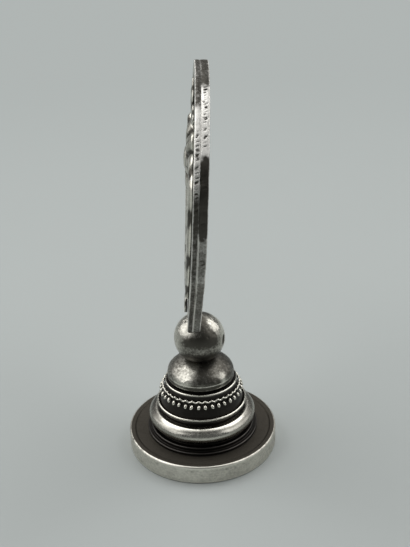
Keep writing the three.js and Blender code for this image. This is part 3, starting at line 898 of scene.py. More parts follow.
    def _bell(self, finishes: Finishes) -> None:
        """The bell: a plain band under an elliptic dome, with painted shade and painted highlights on the
        dome.
        """
        low, high = box("bell_cap")
        radius, band = high[0], low[2] + self.bell_band
        crown = math.degrees(math.acos(self.bell_crown_radius / radius))
        rise = (high[2] - band) / math.sin(math.radians(crown))
        corners = [
            (self.bore, low[2], 0),
            (radius, low[2], 0.08),
            *arc(0, band, radius, rise, 0, crown, 60),
            (self.bore, high[2], 0),
        ]
        skin = Profile(corners, closed=True, spacing=0.15).turned(self.sides)
        skin.push(0.007 * wander(skin.points, 2.2, 7) + 0.004 * wander(skin.points, 0.7, 8))
        lip = 0.05 * near(skin.points[..., 2], band + 0.24, 0.15)
        skin.push(0.0035 * wander(skin.points, 0.32, 10) + lip)
        turn = azimuth(skin.points) + 7 * wander(skin.points, 2.5, 9)
        height = skin.points[..., 2]
        # Painted shade: a dark column at the front, both sides beyond the highlights and a patch on the
        # right shoulder.
        front = np.clip(1.5 * near(turn, 6, 15), 0, 1)
        shoulder = past(height, band + 0.5 * rise, 0.12) * near(turn, 38, 22)
        skin.stain_and_shade(0.6 * front + 0.4 * past(-turn, 54, 6) + 0.6 * past(turn, 47, 6) + 0.45 * shoulder)
        # The plain band is darker below its top edge.
        skin.stain_and_shade(0.4 * (1 - past(height, band - 0.08, 0.02)))
        # Painted highlights: lighter patches on the left and right of the dome, and a lighter line just
        # above the band towards the front.
        painted_highlight = 0.12 * near(turn, -28, 14) + 0.12 * near(turn, 34, 9)
        skin.rub_and_highlight(painted_highlight * near(height, band + 0.25 * rise, 0.35 * rise))
        skin.rub_and_highlight(near(height, band + 0.06, 0.08) * near(turn, 0, 60))
        fit(piece("bell_dome", [skin], finishes.dome.material()), "bell_cap")


@dataclass(frozen=True)
class Pose:
    """The handle's own frame: origin at the ball's middle, X across its thickness, turned by the lean
    about Y, so that x' = x cos t + z sin t and z' = z cos t - x sin t + height."""

    height: float
    lean: float = math.radians(3.6)

    def place(self, points: np.ndarray) -> np.ndarray:
        """Points of the handle's frame in the seal's."""
        x, y, z = np.moveaxis(points, -1, 0)
        cosine, sine = math.cos(self.lean), math.sin(self.lean)
        return np.stack([x * cosine + z * sine, y, z * cosine - x * sine + self.height], -1)


@dataclass
class Ball:
    """The ball under the handle, bored for the pin that holds it."""

    radius: float = 4.37
    hole_radius: float = 0.41
    hole_depth: float = 1.1
    seat_radius: float = 2.2
    pin_radius: float = 0.36
    pin_recess: float = 0.45
    pin_dome: float = 0.08
    hole_lip: float = 0.03
    hole_lip_turn: float = 0.8
    sides: int = 260

    def build(self, finishes: Finishes, pose: Pose) -> None:
        """Makes the pin, and the ball, turned about the pin's axis and flattened where it stands."""
        rim = math.degrees(math.acos(self.hole_radius / self.radius)) - self.hole_lip_turn
        end = self.radius - self.hole_depth
        mouth = math.sqrt(self.radius**2 - self.hole_radius**2) - self.hole_lip
        corners = [
            (0, -end, 0),
            (self.hole_radius, -end, 0.05),
            (self.hole_radius, -mouth, 0.05),
            *arc(0, 0, self.radius, self.radius, -rim, rim, 110),
            (self.hole_radius, mouth, 0.05),
            (self.hole_radius, end, 0.05),
            (0, end, 0),
        ]
        skin = Profile(corners, spacing=0.2, wear_width=0.1).turned(self.sides)
        skin.points = np.roll(skin.points, 1, -1)
        inside = np.linalg.norm(skin.points, axis=-1) <= self.radius - 0.02
        skin.points = pose.place(skin.points)
        local = skin.points - [0, 0, pose.height]
        # Painted shade and a painted shadow on the ball's outside.
        painted_shade = self._painted_shade(local / self.radius)
        pits, depth = self._chips(local)
        smooth = 0.006 * wander(skin.points, 1.6, 4) + 0.004 * wander(skin.points, 0.7, 5)
        smooth += 0.003 * wander(skin.points, 0.32, 6)
        skin.push(np.where(inside, 0, depth + np.maximum(smooth, 0)))
        # Dark inside the bores; outside them, the painted shade and the dirt in the chips.
        skin.stain_and_shade(np.where(inside, 1, painted_shade + 5 * pits))
        seat = pose.height - math.sqrt(self.radius**2 - self.seat_radius**2)
        skin.points[..., 2] = np.maximum(skin.points[..., 2], seat)
        fit(piece("pinned_ball", [skin], finishes.ball.material()), "ball")
        self._pin(finishes, pose)

    def _pin(self, finishes: Finishes, pose: Pose) -> None:
        """The pin, with slightly domed ends that lie inside the hole."""
        reach, dome = self.radius - self.pin_recess, self.pin_dome
        corners = [
            (0, -reach, 0),
            (0.6 * self.pin_radius, -reach + 0.25 * dome, 0.05),
            (self.pin_radius, -reach + dome, 0.05),
            (self.pin_radius, reach - dome, 0.05),
            (0.6 * self.pin_radius, reach - 0.25 * dome, 0.05),
            (0, reach, 0),
        ]
        skin = Profile(corners, spacing=1.0).turned(32)
        skin.points = pose.place(np.roll(skin.points, 1, -1))
        fit(piece("steel_pin", [skin], finishes.steel.material()), "cross_pin")

    def _painted_shade(self, way: np.ndarray) -> np.ndarray:
        """Painted shade: darker in front, a painted shadow underneath where the ball sits on the bell, a
        dark band below the plate's foot and darker at the top on the right.

        Args:
            way: Unit vectors from the ball's middle.
        """
        rise = np.degrees(np.arcsin(np.clip(way[..., 2], -1, 1)))
        turn = azimuth(way) + 6 * wander(way * 4.4, 3.0, 12)
        top = past(rise, 25, 3)
        front = (1 - top) * np.clip(1.3 * near(turn, 4, 50), 0, 1)
        front += top * np.clip(1.5 * near(turn, 12, 25), 0, 1)
        front *= 1 - 0.3 * near(rise, -3, 10)
        underneath = 1 - past(rise, -24, 3)
        band = near(turn, 14, 40) * near(rise, 17, 14)
        right = past(rise, 61, 3) * past(way[..., 0], 0, 0.05)
        return 0.62 * front + 0.434 * underneath + 0.6 * band + 0.55 * right

    def _spots(
        self, random: np.random.Generator, heading: np.ndarray, scatter: float, count: int
    ) -> np.ndarray:
        """Places on the ball, scattered about a heading from its middle."""
        way = heading + random.normal(0, scatter, (count, 3))
        return self.radius * way / np.linalg.norm(way, axis=1, keepdims=True)

    def _chips(self, points: np.ndarray) -> tuple[np.ndarray, np.ndarray]:
        """Small knocks all over the ball, closer together on its left, a few deep chips above them, a
        notch before the pin's hole and blotches on the upper right.

        Args:
            points: Places from the ball's middle.

        Returns:
            The depth of what gathers dirt, and the whole depth.
        """
        random = np.random.default_rng(11)
        left, all_round = 110, 40
        heading = np.repeat([[-1.2, -0.9, 0], [0, 0, 0]], [left, all_round], 0)
        places = self._spots(random, heading, 1, left + all_round)
        small = knocks(points, places, random, radii=(0.08, 0.22), depths=(0.006, 0.03))
        chips = self._spots(random, np.array([-0.535, -0.192, 0.823]), 0.055, 9)
        deep = knocks(points, chips, random, radii=(0.09, 0.2), depths=(0.04, 0.1))
        notch = self.radius * np.array([[0.952, -0.3, -0.04], [0.962, -0.25, 0.07]])
        deep += dents(points, notch, [0.55, 0.42], [0.6, 0.45])
        blotches = self._spots(random, np.array([0.5, -0.68, 0.53]), 0.13, 14)
        deep += knocks(points, blotches, random, radii=(0.12, 0.26), depths=(0.02, 0.05))
        return deep + 0.6 * small, deep + small


@dataclass(frozen=True)
class Layer:
    """One layer of the plate and the marks on its edge.

    Places on the edge are given by their slope, the angle in degrees from the level about the middle
    of the head. File strokes stand close together between the two slopes of struck. Grime and wear
    are pairs of a slope and an amount; they paint the edge's dark and bright bands, which are painted
    shade and painted highlight. The seam lies towards +X where seam_side is 1.
    """

    name: str
    node: str
    seed: int
    seam_side: int
    struck: tuple[float, float]
    grime_and_shade: tuple[tuple[float, float], ...]
    wear_and_highlight: tuple[tuple[float, float], ...]


# Grime and wear by slope paint the edge's dark and bright bands: painted shade and painted highlight.
FRONT_LAYER = Layer(
    "ornament_plate",
    "front_plate",
    seed=21,
    seam_side=1,
    struck=(14, 40),
    grime_and_shade=(
        (-90, 0.35), (-12, 0.35), (-4, 0.5), (5, 0.6), (14, 0.3), (20, 0.05), (46, 0), (57, 0.5), (90, 0.5)
    ),
    wear_and_highlight=((8, 0), (20, 0.6), (34, 0.9), (46, 0.9), (56, 0)),
)
BACK_LAYER = Layer(
    "plain_plate",
    "back_plate",
    seed=22,
    seam_side=-1,
    struck=(36, 63),
    grime_and_shade=((-90, 0.2), (-7, 0.2), (-3, 0.95), (28, 0.95), (31, 0), (58, 0), (67, 0.6), (90, 0.6)),
    wear_and_highlight=((28, 0), (31, 0.8), (44, 1), (58, 1), (67, 0)),
)


@dataclass
class Plate:
    """The handle's plate: a round head whose flanks run down to the ball, in two layers.

    Distances are taken from the middle of the head, in the plate's own plane. With a the angle from
    the level, the head lies at R, a flank at R / cos(a - flank) and the foot where the ray meets the
    ball's circle: -h sin a - sqrt(f^2 - h^2 cos^2 a), h being the head's height and f the foot's radius.
    """

    head_radius: float = 18.79
    head_height: float = 27.6
    foot_half_width: float = 3.4
    ball_radius: float = 4.37
    seam: float = 0.1
    bevel: float = 0.2
    crown: float = 0.05
    solder: float = 0.07
    back_face: float = 0.0
    back_thickness: float = 1.25
    front_thickness: float = 0.8
    rim_width: float = 2.0
    panel_depth: float = 0.3
    panel_foot: float = 2.2
    edge_fade: float = 0.15
    corner_fade: float = 0.1
    stroke_radius: float = 0.085
    columns: int = 1200

    @property
    def rim_x(self) -> float:
        """Place of the rim's ornamented face."""
        return self.back_face - self.back_thickness - self.seam - self.front_thickness

    @property
    def flank(self) -> float:
        """Angle of the head's radius where a flank leaves it."""
        drop = self.head_height - math.sqrt(self.ball_radius**2 - self.foot_half_width**2)
        span = math.hypot(self.foot_half_width, drop)
        return math.acos(self.head_radius / span) - math.atan2(drop, self.foot_half_width)

    def reach(self, angle: np.ndarray, inset: float, foot_radius: float) -> np.ndarray:
        """Distance of the outline in each direction.

        Args:
            angle: Direction from the level, in radians.
            inset: How far inside the plate's head and flanks the line runs.
            foot_radius: Radius of the foot's curve about the ball's middle.
        """
        across, up = np.abs(np.cos(angle)), np.sin(angle)
        folded = np.arctan2(up, across)
        head = self.head_radius - inset
        side = np.where(folded < self.flank, head / np.cos(np.minimum(folded - self.flank, 0)), head)
        room = foot_radius**2 - (self.head_height * across) ** 2
        foot = -self.head_height * up - np.sqrt(np.maximum(room, 0))
        return np.minimum(side, np.where((room > 0) & (up < 0), foot, np.inf))

    def directions(self) -> np.ndarray:
        """Directions that cut the outline into equal lengths."""
        fine = 40001
        angle = np.linspace(-np.pi / 2, 1.5 * np.pi, fine)
        reach = self.reach(angle, 0, self.ball_radius)
        line = np.stack([reach * np.cos(angle), reach * np.sin(angle)], -1)
        length = np.concatenate([[0], np.cumsum(np.linalg.norm(np.diff(line, axis=0), axis=1))])
        return np.interp(np.arange(self.columns) * length[-1] / self.columns, length, angle)

    def row(self, angle: np.ndarray, x: float, inset: float, share: float = 1) -> np.ndarray:
        """Points at a share of the way from the head's middle to the outline, at one depth."""
        foot = math.sqrt((self.ball_radius + self.seam) ** 2 - x**2) + inset
        reach = share * self.reach(angle, inset, foot)
        return self._points(angle, reach, x)

    def panel_row(self, angle: np.ndarray, x: float, share: float, grow: float = 0) -> np.ndarray:
        """Points at a share of the way to the panel's outline, at one depth."""
        reach = share * self.reach(angle, self.rim_width - grow, self.ball_radius + self.panel_foot - grow)
        return self._points(angle, reach, x)

    def _points(self, angle: np.ndarray, reach: np.ndarray, x: float) -> np.ndarray:
        """Points from polar places in the plate's plane, at one depth."""
        ones = np.ones_like(angle)
        return np.stack([x * ones, reach * np.cos(angle), self.head_height + reach * np.sin(angle)], -1)

    def build(self, finishes: Finishes, pose: Pose) -> None:
        """Makes both layers."""
        angle = self.directions()
        shares = np.linspace(0, 1, 20)[:-1] ** 0.8
        low, panel = self.rim_x, self.rim_x + self.panel_depth
        panel_wall = ((panel, -0.08), (panel - 0.05, -0.01), (low + 0.06, 0.01), (low, 0.1))
        front = [self.panel_row(angle, panel, share) for share in shares]
        front += [self.panel_row(angle, x, 1, grow) for x, grow in panel_wall]
        front += [self.row(angle, low, inset) for inset in (1.5, 1.1, 0.7, 0.4)]
        thickness = self.front_thickness + self.seam
        edge = self._edge(angle, low, thickness, steps=8, first=self.bevel, last=self.solder)
        front_edge = (len(front), len(front) + len(edge) - 1)
        low += thickness
        front += edge + [self.row(angle, low, self.solder, share) for share in shares[::-1]]
        back = [self.row(angle, low, self.solder, share) for share in shares]
        thickness = self.back_thickness
        edge = self._edge(angle, low, thickness, steps=14, first=self.solder, last=self.bevel)
        back_edge = (len(back), len(back) + len(edge) - 1)
        back += edge + [self.row(angle, self.back_face, self.bevel, share) for share in shares[::-1]]
        self._finish(FRONT_LAYER, front, front_edge, finishes, pose)
        self._finish(BACK_LAYER, back, back_edge, finishes, pose)

    def _edge(
        self, angle: np.ndarray, low: float, thickness: float, steps: int, first: float, last: float
    ) -> list[np.ndarray]:
        """Rows over the edge: a worn corner of one radius, the filed edge and a corner of another, with
        the whole edge crowned by crown * u^2, u running from -1 to 1 over the thickness."""
        turn = np.radians([0, 22, 45, 68, 90])
        inset, rise = 1 - np.sin(turn), 1 - np.cos(turn)
        high = low + thickness
        places = [(low + first * r, first * i) for i, r in zip(inset, rise)]
        places += [(x, 0) for x in np.linspace(low + first, high - last, steps)[1:-1]]
        places += [(high - last * r, last * i) for i, r in zip(inset[::-1], rise[::-1])]
        crowned = [(x, i + self.crown * (2 * (x - low) / thickness - 1) ** 2) for x, i in places]
        return [self.row(angle, x, i) for x, i in crowned]

    def _finish(
        self,
        layer: Layer,
        rows: list[np.ndarray],
        edge_rows: tuple[int, int],
        finishes: Finishes,
        pose: Pose,
    ) -> None:
        """Wears and stains one layer, lays painted shade and painted highlight in bands along its edge, and
        puts it in its place.
        """
        points = np.stack(rows)
        x, y, z = np.moveaxis(points, -1, 0)
        z = z - self.head_height
        depth = self.reach(np.arctan2(z, y), 0, self.ball_radius) - np.hypot(y, z)
        edge = np.exp(-((np.maximum(depth, 0) / self.edge_fade) ** 2))
        skin = Skin(points, 0 * y, 0 * y, first_pole=True, last_pole=True, second_rows=edge_rows)
        across = (x - x.min()) / (x.max() - x.min())
        slope = np.degrees(np.arctan2(z, np.abs(y)))
        # The wobble and the bend of the slope shape the edges of the painted bands.
        slope += 0.6 * wander(points, 1.6, layer.seed) + 0.5 * wander(points, 0.45, layer.seed + 5)
        slope += 2.5 * (2 * across - 1) ** 2 * near(slope, 33, 9) * (layer.seam_side < 0)
        # Painted shade and painted highlight in bands along the edge, read from the layer's tables by
        # slope.
        grime_and_shade, wear_and_highlight = (np.interp(slope, *np.transpose(levels)) for levels in (layer.grime_and_shade, layer.wear_and_highlight))
        from_sides = (x.max() - x, x - x.min())[:: layer.seam_side]
        seam, outer = (np.exp(-((apart / self.corner_fade) ** 2)) * edge for apart in from_sides)
        corner = np.maximum(outer, seam * np.interp(slope, (-7, -1), (0.9, 0.15)))
        strokes, dips = self._tool_marks(points, layer)
        skin.push(0.012 * np.maximum(wander(points, 1.1, layer.seed + 1), 0) * edge + strokes + dips)
        # Worn corners are real wear; the bands add painted highlight and painted shade, and the file
        # strokes gather dirt.
        skin.rub_and_highlight(np.maximum(wear_and_highlight * edge, corner) * (1 - np.clip(14 * strokes, 0, 1)))
        skin.stain_and_shade(edge * grime_and_shade * (1 - corner) + 8 * strokes + 0.1)
        skin.points = pose.place(skin.points)
        made = piece(layer.name, [skin], finishes.flat.material(), finishes.filed.material())
        fit(made, layer.node)

    def _tool_marks(self, points: np.ndarray, layer: Layer) -> tuple[np.ndarray, np.ndarray]:
        """Slanting file strokes side by side, each a row of dents, and wide shallow knocks."""
        random = np.random.default_rng(layer.seed)
        low, high = points[..., 0].min() + 0.15, points[..., 0].max() - 0.15
        close, loose, dots, dips = 50, 30, 9, 40
        strokes = close + loose
        turn = np.concatenate([random.uniform(*layer.struck, close), random.uniform(-40, 85, loose)])
        heading, length = random.normal(1.2, 0.05, strokes), random.uniform(0.3, 0.65, strokes)
        along = np.linspace(-0.5, 0.5, dots)[:, None] * length
        across = random.normal((low + high) / 2, 0.12 * (high - low), strokes) + along * np.sin(heading)
        turned = np.radians(turn) + along * np.cos(heading) / self.head_radius
        places = self._on_edge(across, turned, random.choice([1, 1, -1], strokes))
        depths = np.tile(random.uniform(0.008, 0.03, strokes), dots)
        marks = dents(points, places, np.full(dots * strokes, self.stroke_radius), depths)
        turn = np.radians(random.uniform(-60, 85, dips))
        places = self._on_edge(random.uniform(low, high, dips), turn, random.choice([1, -1], dips))
        return marks, knocks(points, places, random, radii=(0.4, 1.1), depths=(0.015, 0.05))

    def _on_edge(self, x: np.ndarray, turn: np.ndarray, side: np.ndarray) -> np.ndarray:
        """Places on the head's edge at each depth and angle, on one side or the other, as one list."""
        y = -side * self.head_radius * np.cos(turn)
        return np.stack([x, y, self.head_height + self.head_radius * np.sin(turn)], -1).reshape(-1, 3)


@dataclass(frozen=True)
class Leaf:
    """One leaf of the ornament, along a path in the plate's plane.

    With s its share of the length and w its share of the half width, its margin lies at
    half_width * sin(pi (g + (k - g) s^taper)) * (1 - lobe_depth |sin(pi lobes s)|^3), where g and k
    make it base and tip of its width at the ends. From its edge it rises to its height by
    (1 - |w|^3)(rib + shoulder |w|), cut by a groove between each two lobes. Beyond hollow_start its
    back is hollow, which leaves the margin's thickness. A leaf that is plain_inside has no lobes on
    the side towards the middle of its curl, one of side -1 is mirrored, and one on_rim lies on the
    plate's rim.
    """

    node: str
    name: str
    path: tuple[tuple[float, float], ...]
    half_width: float
    height: float
    lobes: int
    steps: int
    base: float = 0.4
    tip: float = 0.15
    taper: float = 1.0
    lobe_depth: float = 0.26
    sweep: float = 0.45
    groove_depth: float = 0.28
    vein_depth: float = 0.22
    edge: float = 0.35
    rib: float = 0.74
    shoulder: float = 0.6
    margin: float = 0.13
    hollow_start: float = 0.55
    sections: int = 29
    plain_inside: bool = False
    side: int = 1
    on_rim: bool = False

    def spline(self, share: np.ndarray) -> np.ndarray:
        """Points of the path: between points b and c with neighbours a and d, the cubic whose ends have
        the slopes (c - a) / 2 and (d - b) / 2."""
        points = np.array(self.path)
        last = len(points) - 1
        if last == 1:
            return points[0] + (points[1] - points[0]) * share[:, None]
        place = np.clip(share, 0, 1) * last
        i = np.minimum(place.astype(int), last - 1)
        t = (place - i)[:, None]
        a, b, c, d = points[np.maximum(i - 1, 0)], points[i], points[i + 1], points[np.minimum(i + 2, last)]
        first, second = (c - a) / 2, (d - b) / 2
        return (
            (2 * b - 2 * c + first + second) * t**3
            + (3 * c - 3 * b - 2 * first - second) * t**2
            + first * t
            + b
        )

    def skin(self, back: float) -> Skin:
        """The leaf as a closed surface in the handle's frame, with its back at that place along X."""
        along = np.linspace(0, 1, self.steps + 1)
        middle = self.spline(along)
        heading = self.spline(np.minimum(along + 1e-4, 1)) - self.spline(np.maximum(along - 1e-4, 0))
        heading /= np.linalg.norm(heading, axis=1, keepdims=True)
        grow = math.asin(self.base) / math.pi
        shrink = 1 - math.asin(self.tip) / math.pi
        belly = np.sin(np.pi * (grow + (shrink - grow) * along**self.taper))[:, None]
        across = 1 - np.linspace(0, 1, self.sections)
        outwards = (self.side * (2 * across - 1))[None, :] * np.ones_like(belly)
        spread = np.abs(outwards)
        lobed = np.where((outwards < 0) & self.plain_inside, 0, 1)
        wave = np.pi * self.lobes * along[:, None]
        lobe = 1 - lobed * self.lobe_depth * np.abs(np.sin(wave)) ** 3
        reach = self.half_width * belly * lobe * outwards
        sweep = lobed * self.sweep * self.half_width * belly * spread * (1 - along[:, None])
        swell = (1 - spread**3) * (self.rib + self.shoulder * spread) * np.sqrt(belly)
        groove = np.abs(np.sin(wave + 0.5 * (1 - spread))) ** 10 * np.sqrt(spread) * lobed
        vein = np.exp(-((spread / 0.1) ** 2))
        cut = self.groove_depth * groove + self.vein_depth * vein
        height = self.edge + (self.height - self.edge) * swell * (1 - cut)
        y = self.side * (middle[:, :1] + heading[:, 1:] * reach + heading[:, :1] * sweep)
        z = middle[:, 1:] - heading[:, :1] * reach + heading[:, 1:] * sweep
        beyond = (spread - self.hollow_start) / (1 - self.hollow_start)
        hollow = (self.edge - self.margin) * np.clip(beyond, 0, 1) ** 2
        front = np.stack([back - height, y, z], -1)
        rear = np.stack([back - hollow, y, z], -1)[:, ::-1]
        points = np.concatenate([front, rear], 1)
        ends = [points[:1].mean(1, keepdims=True), points[-1:].mean(1, keepdims=True)]
        caps = [np.repeat(end, points.shape[1], 1) for end in ends]
        points = np.concatenate([caps[0], points, caps[1]])
        top = 0.5 * np.clip((height - 0.8 * self.height) / (0.2 * self.height), 0, 1)
        top = np.maximum(top, np.exp(-(((1 - spread) / 0.07) ** 2)))
        dirt = np.clip(1.4 * groove + vein, 0, 1)
        wear_and_highlight = np.concatenate([top, 0 * top], 1)
        grime_and_shade = np.concatenate([dirt, 0 * dirt + 1], 1)
        wear_and_highlight, grime_and_shade = (np.concatenate([g[:1], g, g[-1:]]) for g in (wear_and_highlight, grime_and_shade))
        return Skin(points, wear_and_highlight, grime_and_shade, first_pole=True, last_pole=True)


@dataclass
class Ornament:
    """The flower and the leaves on the handle's face."""

    plate: Plate
    room: float = 0.4
    flower_radius: float = 5.7
    flower_height: float = 1.5
    flower_lift: float = 4.1
    petals: int = 8
    scallop: float = 0.09
    foot_leaf_length: float = 3.7
    curl_place: tuple[float, float] = (0.615, 0.2)
    curl_radius: float = 0.235
    curl_step: float = 0.025

    @property
    def panel_radius(self) -> float:
        """Radius of the sunk panel's head."""
        return self.plate.head_radius - self.plate.rim_width

    def _on_panel(self, *points: tuple[float, float]) -> tuple[tuple[float, float], ...]:
        """A path from points across and up from the head's middle, in shares of the panel's radius."""
        radius, height = self.panel_radius, self.plate.head_height
        return tuple((across * radius, height + up * radius) for across, up in points)

    def _curl(self) -> list[tuple[float, float]]:
        """The spiral end of a scroll, in eighths of a turn, each a step closer to its middle."""
        (across, up), points = self.curl_place, []
        for i in range(9):
            reach, turn = self.curl_radius - self.curl_step * i, math.radians(45 * i)
            points.append((across + reach * math.cos(turn), up + reach * math.sin(turn)))
        return points

    def leaves(self) -> list[Leaf]:
        """All the leaves, with paths across and up from the ball's middle."""
        flower = self.plate.head_height + self.flower_lift
        clear = self.flower_radius * (1 + self.scallop) + self.room
        foot = self.plate.ball_radius + self.room
        foot_tip = foot + self.foot_leaf_length
        top = self.plate.head_height + self.panel_radius - self.room
        foot_path = ((0, foot), (0, foot_tip))
        stem_path = ((0, foot_tip + self.room), (0, flower - clear))
        crest_path = ((0, flower + clear), (0, top))
        stalk = ((0.2, -1.09), (0.43, -0.8), (0.66, -0.48), (0.79, -0.14))
        scroll_path = self._on_panel(*stalk, *self._curl())
        side_path = self._on_panel((0.33, -0.66), (0.41, -0.44), (0.37, -0.18))
        spray_path = self._on_panel((0.2, 0.63), (0.34, 0.73), (0.52, 0.72))
        found = [
            Leaf("stem_leaf", "stem_acanthus", stem_path, 4.6, 1.0, lobes=5, steps=110, base=0.5),
            Leaf(
                "foot_leaf", "foot_acanthus", foot_path, 2.1, 0.5, lobes=1, steps=40, base=0.6, on_rim=True
            ),
            Leaf("crest_leaf", "crest_acanthus", crest_path, 2.5, 0.55, lobes=2, steps=50),
        ]
        for side, sign in (("left", 1), ("right", -1)):
            scroll = Leaf(
                f"scroll_{side}",
                f"scroll_acanthus_{side}",
                scroll_path,
                1.9,
                0.95,
                lobes=9,
                steps=240,
                base=0.3,
                tip=0.2,
                taper=0.62,
                lobe_depth=0.45,
                plain_inside=True,
                side=sign,
            )
            small = {"lobes": 2, "steps": 50, "side": sign}
            found += [
                scroll,
                Leaf(f"side_leaf_{side}", f"side_acanthus_{side}", side_path, 1.5, 0.75, **small),
                Leaf(f"crest_side_{side}", f"crest_spray_{side}", spray_path, 1.5, 0.55, **small),
            ]
        return found

    def build(self, finishes: Finishes, pose: Pose) -> None:
        """Makes the leaves and the flower."""
        rim = self.plate.rim_x
        panel = rim + self.plate.panel_depth
        finish = finishes.cast.material()
        for leaf in self.leaves():
            skin = leaf.skin((rim if leaf.on_rim else panel) - self.plate.seam)
            skin.push(0.012 * np.maximum(wander(skin.points, 0.8, leaf.steps), 0))
            skin.points = pose.place(skin.points)
            fit(piece(leaf.name, [skin], finish), leaf.node)
        skin = self._flower()
        skin.points += [panel - self.plate.seam, 0, self.plate.head_height + self.flower_lift]
        skin.points = pose.place(skin.points)
        fit(piece("rosette_flower", [skin], finish), "rosette")

    def _flower(self) -> Skin:
        """A domed flower: its outline is r (1 + scallop (r / R)^2 cos(petals a)), with a groove between
        each two petals and a beaded eye."""
        radius, height = self.flower_radius, self.flower_height
        dome = ((0.8, 0.72), (0.55, 0.8), (0.36, 0.55), (0.26, 0.92))
        corners = [(0, 0, 0), (radius, 0, 0.05), (radius, 0.35, 0.3)]
        corners += [(radius * out, height * up, 0.5) for out, up in dome]
        corners += [(0, height, 0)]
        skin = Profile(corners, spacing=0.15).turned(256)
        x, y, z = np.moveaxis(skin.points, -1, 0)
        reach, turn = np.hypot(x, y), np.arctan2(y, x)
        share = reach / radius
        swing = np.cos(self.petals * turn)
        grow = 1 + self.scallop * share**2 * swing
        groove = (0.5 - 0.5 * swing) ** 6 * np.clip((share - 0.36) / 0.2, 0, 1)
        vein = np.exp(-(((1 - swing) / 0.02) ** 2))
        vein *= np.clip((share - 0.5) / 0.2, 0, 1) * np.clip((0.95 - share) / 0.2, 0, 1)
        cut = (0.45 * groove + 0.12 * vein) * (z > 0.2)
        skin.points = np.stack([-np.maximum(z - cut, np.minimum(z, 0.2)), y * grow, x * grow], -1)
        skin.blacken(np.clip(groove + 0.6 * vein, 0, 1))
        return skin


# Camera, floor and light


@dataclass(frozen=True)
class SoftPanel:
    """A rectangular soft light: its middle and sides in metres, and its turn in degrees."""

    name: str
    place: Place
    size: tuple[float, float]
    radiance: float
    turn: Place


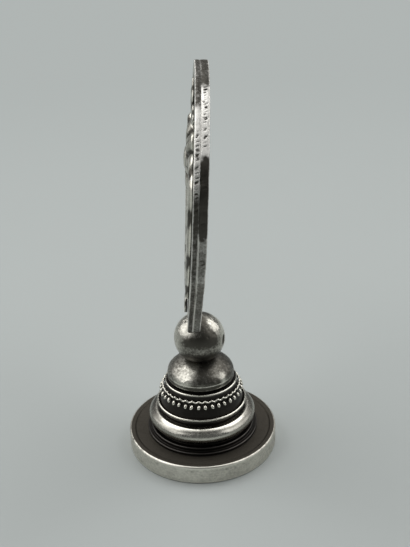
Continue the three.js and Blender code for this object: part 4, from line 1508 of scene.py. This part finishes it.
@dataclass
class Studio:
    """The photograph's viewpoint, a pale floor and soft light.

    The camera's place and the floor's fade are millimetres, the floor's radius and its gap under the
    seal are metres, and angles are degrees.
    """

    camera_place: Place = (0, -126.65, 92.15)
    pitch: float = 25.144
    roll: float = 1.9
    yaw: float = 0.592
    lens: float = 55.94
    floor_colour: Colour = (0.43, 0.456, 0.446)
    backdrop_colour: Colour = (0.435, 0.465, 0.455)
    room_colour: Colour = (0.12, 0.125, 0.125)
    fade_start: float = 20
    fade_end: float = 320
    floor_radius: float = 4.0
    floor_gap: float = 1e-5
    floor_sides: int = 96
    lights: tuple[SoftPanel, ...] = (
        SoftPanel("rear_screen", (0, 0.4, 0.66), (1.3, 0.6), 1.4, (-31, 0, 0)),
        SoftPanel("ceiling_panel", (0, 0.12, 0.86), (1.0, 0.36), 1.1, (-8, 0, 0)),
        SoftPanel("left_window", (-0.62, 0.0, 0.46), (0.75, 1.1), 1.5, (0, -52, 0)),
        SoftPanel("right_window", (0.62, 0.03, 0.46), (0.75, 1.0), 1.35, (0, 52, 0)),
    )

    def build(self) -> None:
        """Makes the camera, the floor, the backdrop and the lights."""
        self._camera()
        self._floor()
        self._world()
        for panel in self.lights:
            self._light(panel)

    def _camera(self) -> None:
        """Looks along +Y, turned right by the yaw, down by the pitch and over by the roll."""
        pitch, roll, yaw = (math.radians(a) for a in (self.pitch, self.roll, self.yaw))
        ahead = np.array(
            [math.sin(yaw) * math.cos(pitch), math.cos(yaw) * math.cos(pitch), -math.sin(pitch)]
        )
        level = np.array([math.cos(yaw), -math.sin(yaw), 0])
        below = np.cross(ahead, level)
        right = math.cos(roll) * level + math.sin(roll) * below
        down = math.cos(roll) * below - math.sin(roll) * level
        matrix = Matrix.Identity(4)
        for row in range(3):
            matrix[row][:] = (right[row], -down[row], -ahead[row], self.camera_place[row] * MM)
        data = bpy.data.cameras.new("photo_camera")
        data.lens = self.lens
        data.sensor_width = 36
        data.clip_start = 0.005
        camera = bpy.data.objects.new("photo_camera", data)
        camera.matrix_world = matrix
        bpy.context.scene.collection.objects.link(camera)
        bpy.context.scene.camera = camera

    def _floor(self) -> None:
        """A round pale floor that turns into the backdrop's colour far from the seal."""
        shader = Shader("pale_floor")
        far = shader.node("VectorMath", {"operation": "LENGTH"}, {0: shader.place()}).outputs["Value"]
        fade = Field(shader, far).ramp(self.fade_start, self.fade_end)
        cloth = shader.noise(shader.place(), scale=0.02, detail=3, roughness=0.5)
        darker = tuple(0.97 * share for share in self.floor_colour)
        colour = shader.blend(cloth, self.floor_colour, darker)
        ground = shader.node("BsdfDiffuse", {}, {"Color": colour})
        glow = shader.node("Emission", {}, {"Color": (*self.backdrop_colour, 1), "Strength": 1.0})
        mixed = shader.node("MixShader", {}, {0: fade, 1: ground.outputs[0], 2: glow.outputs[0]})
        turn = np.arange(self.floor_sides) * 2 * np.pi / self.floor_sides
        below = np.full(self.floor_sides, -self.floor_gap)
        rim = np.stack([self.floor_radius * np.cos(turn), self.floor_radius * np.sin(turn), below], -1)
        mesh = bpy.data.meshes.new("pale_floor")
        mesh.from_pydata(rim.tolist(), [], [list(range(len(rim)))])
        mesh.materials.append(shader.finish(mixed))
        floor = bpy.data.objects.new("pale_floor", mesh)
        bpy.context.scene.collection.objects.link(floor)

    def _world(self) -> None:
        """The backdrop's colour to the camera, and a dim room to everything else."""
        world = bpy.data.worlds.new("soft_room")
        world.use_nodes = True
        tree = world.node_tree
        tree.nodes.clear()
        output = tree.nodes.new("ShaderNodeOutputWorld")
        mix = tree.nodes.new("ShaderNodeMixShader")
        path = tree.nodes.new("ShaderNodeLightPath")
        seen, room = tree.nodes.new("ShaderNodeBackground"), tree.nodes.new("ShaderNodeBackground")
        seen.inputs[0].default_value = (*self.backdrop_colour, 1)
        room.inputs[0].default_value = (*self.room_colour, 1)
        tree.links.new(path.outputs["Is Camera Ray"], mix.inputs[0])
        tree.links.new(room.outputs[0], mix.inputs[1])
        tree.links.new(seen.outputs[0], mix.inputs[2])
        tree.links.new(mix.outputs[0], output.inputs[0])
        bpy.context.scene.world = world

    def _light(self, panel: SoftPanel) -> None:
        """Makes one soft light; its power is radiance * pi * area."""
        data = bpy.data.lights.new(panel.name, "AREA")
        data.shape = "RECTANGLE"
        data.size, data.size_y = panel.size
        data.energy = panel.radiance * math.pi * panel.size[0] * panel.size[1]
        lamp = bpy.data.objects.new(panel.name, data)
        lamp.location = panel.place
        lamp.rotation_euler = [math.radians(angle) for angle in panel.turn]
        lamp.visible_camera = False
        bpy.context.scene.collection.objects.link(lamp)


def main() -> None:
    """Builds the camera and light, then each sub-assembly."""
    logging.basicConfig(level=logging.INFO, format="%(message)s")
    bpy.context.scene.view_settings.view_transform = "Standard"
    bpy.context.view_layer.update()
    finishes = Finishes()
    Studio().build()
    Die().build(finishes)
    Stem().build(finishes)
    ball, plate = Ball(), Plate()
    pose = Pose(box("bell_cap")[1][2] + math.sqrt(ball.radius**2 - ball.seat_radius**2))
    ball.build(finishes, pose)
    plate.build(finishes, pose)
    Ornament(plate).build(finishes, pose)
    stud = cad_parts["stud"]
    stud.data.materials.clear()
    stud.data.materials.append(finishes.steel.material())


if __name__ == "__main__":
    main()
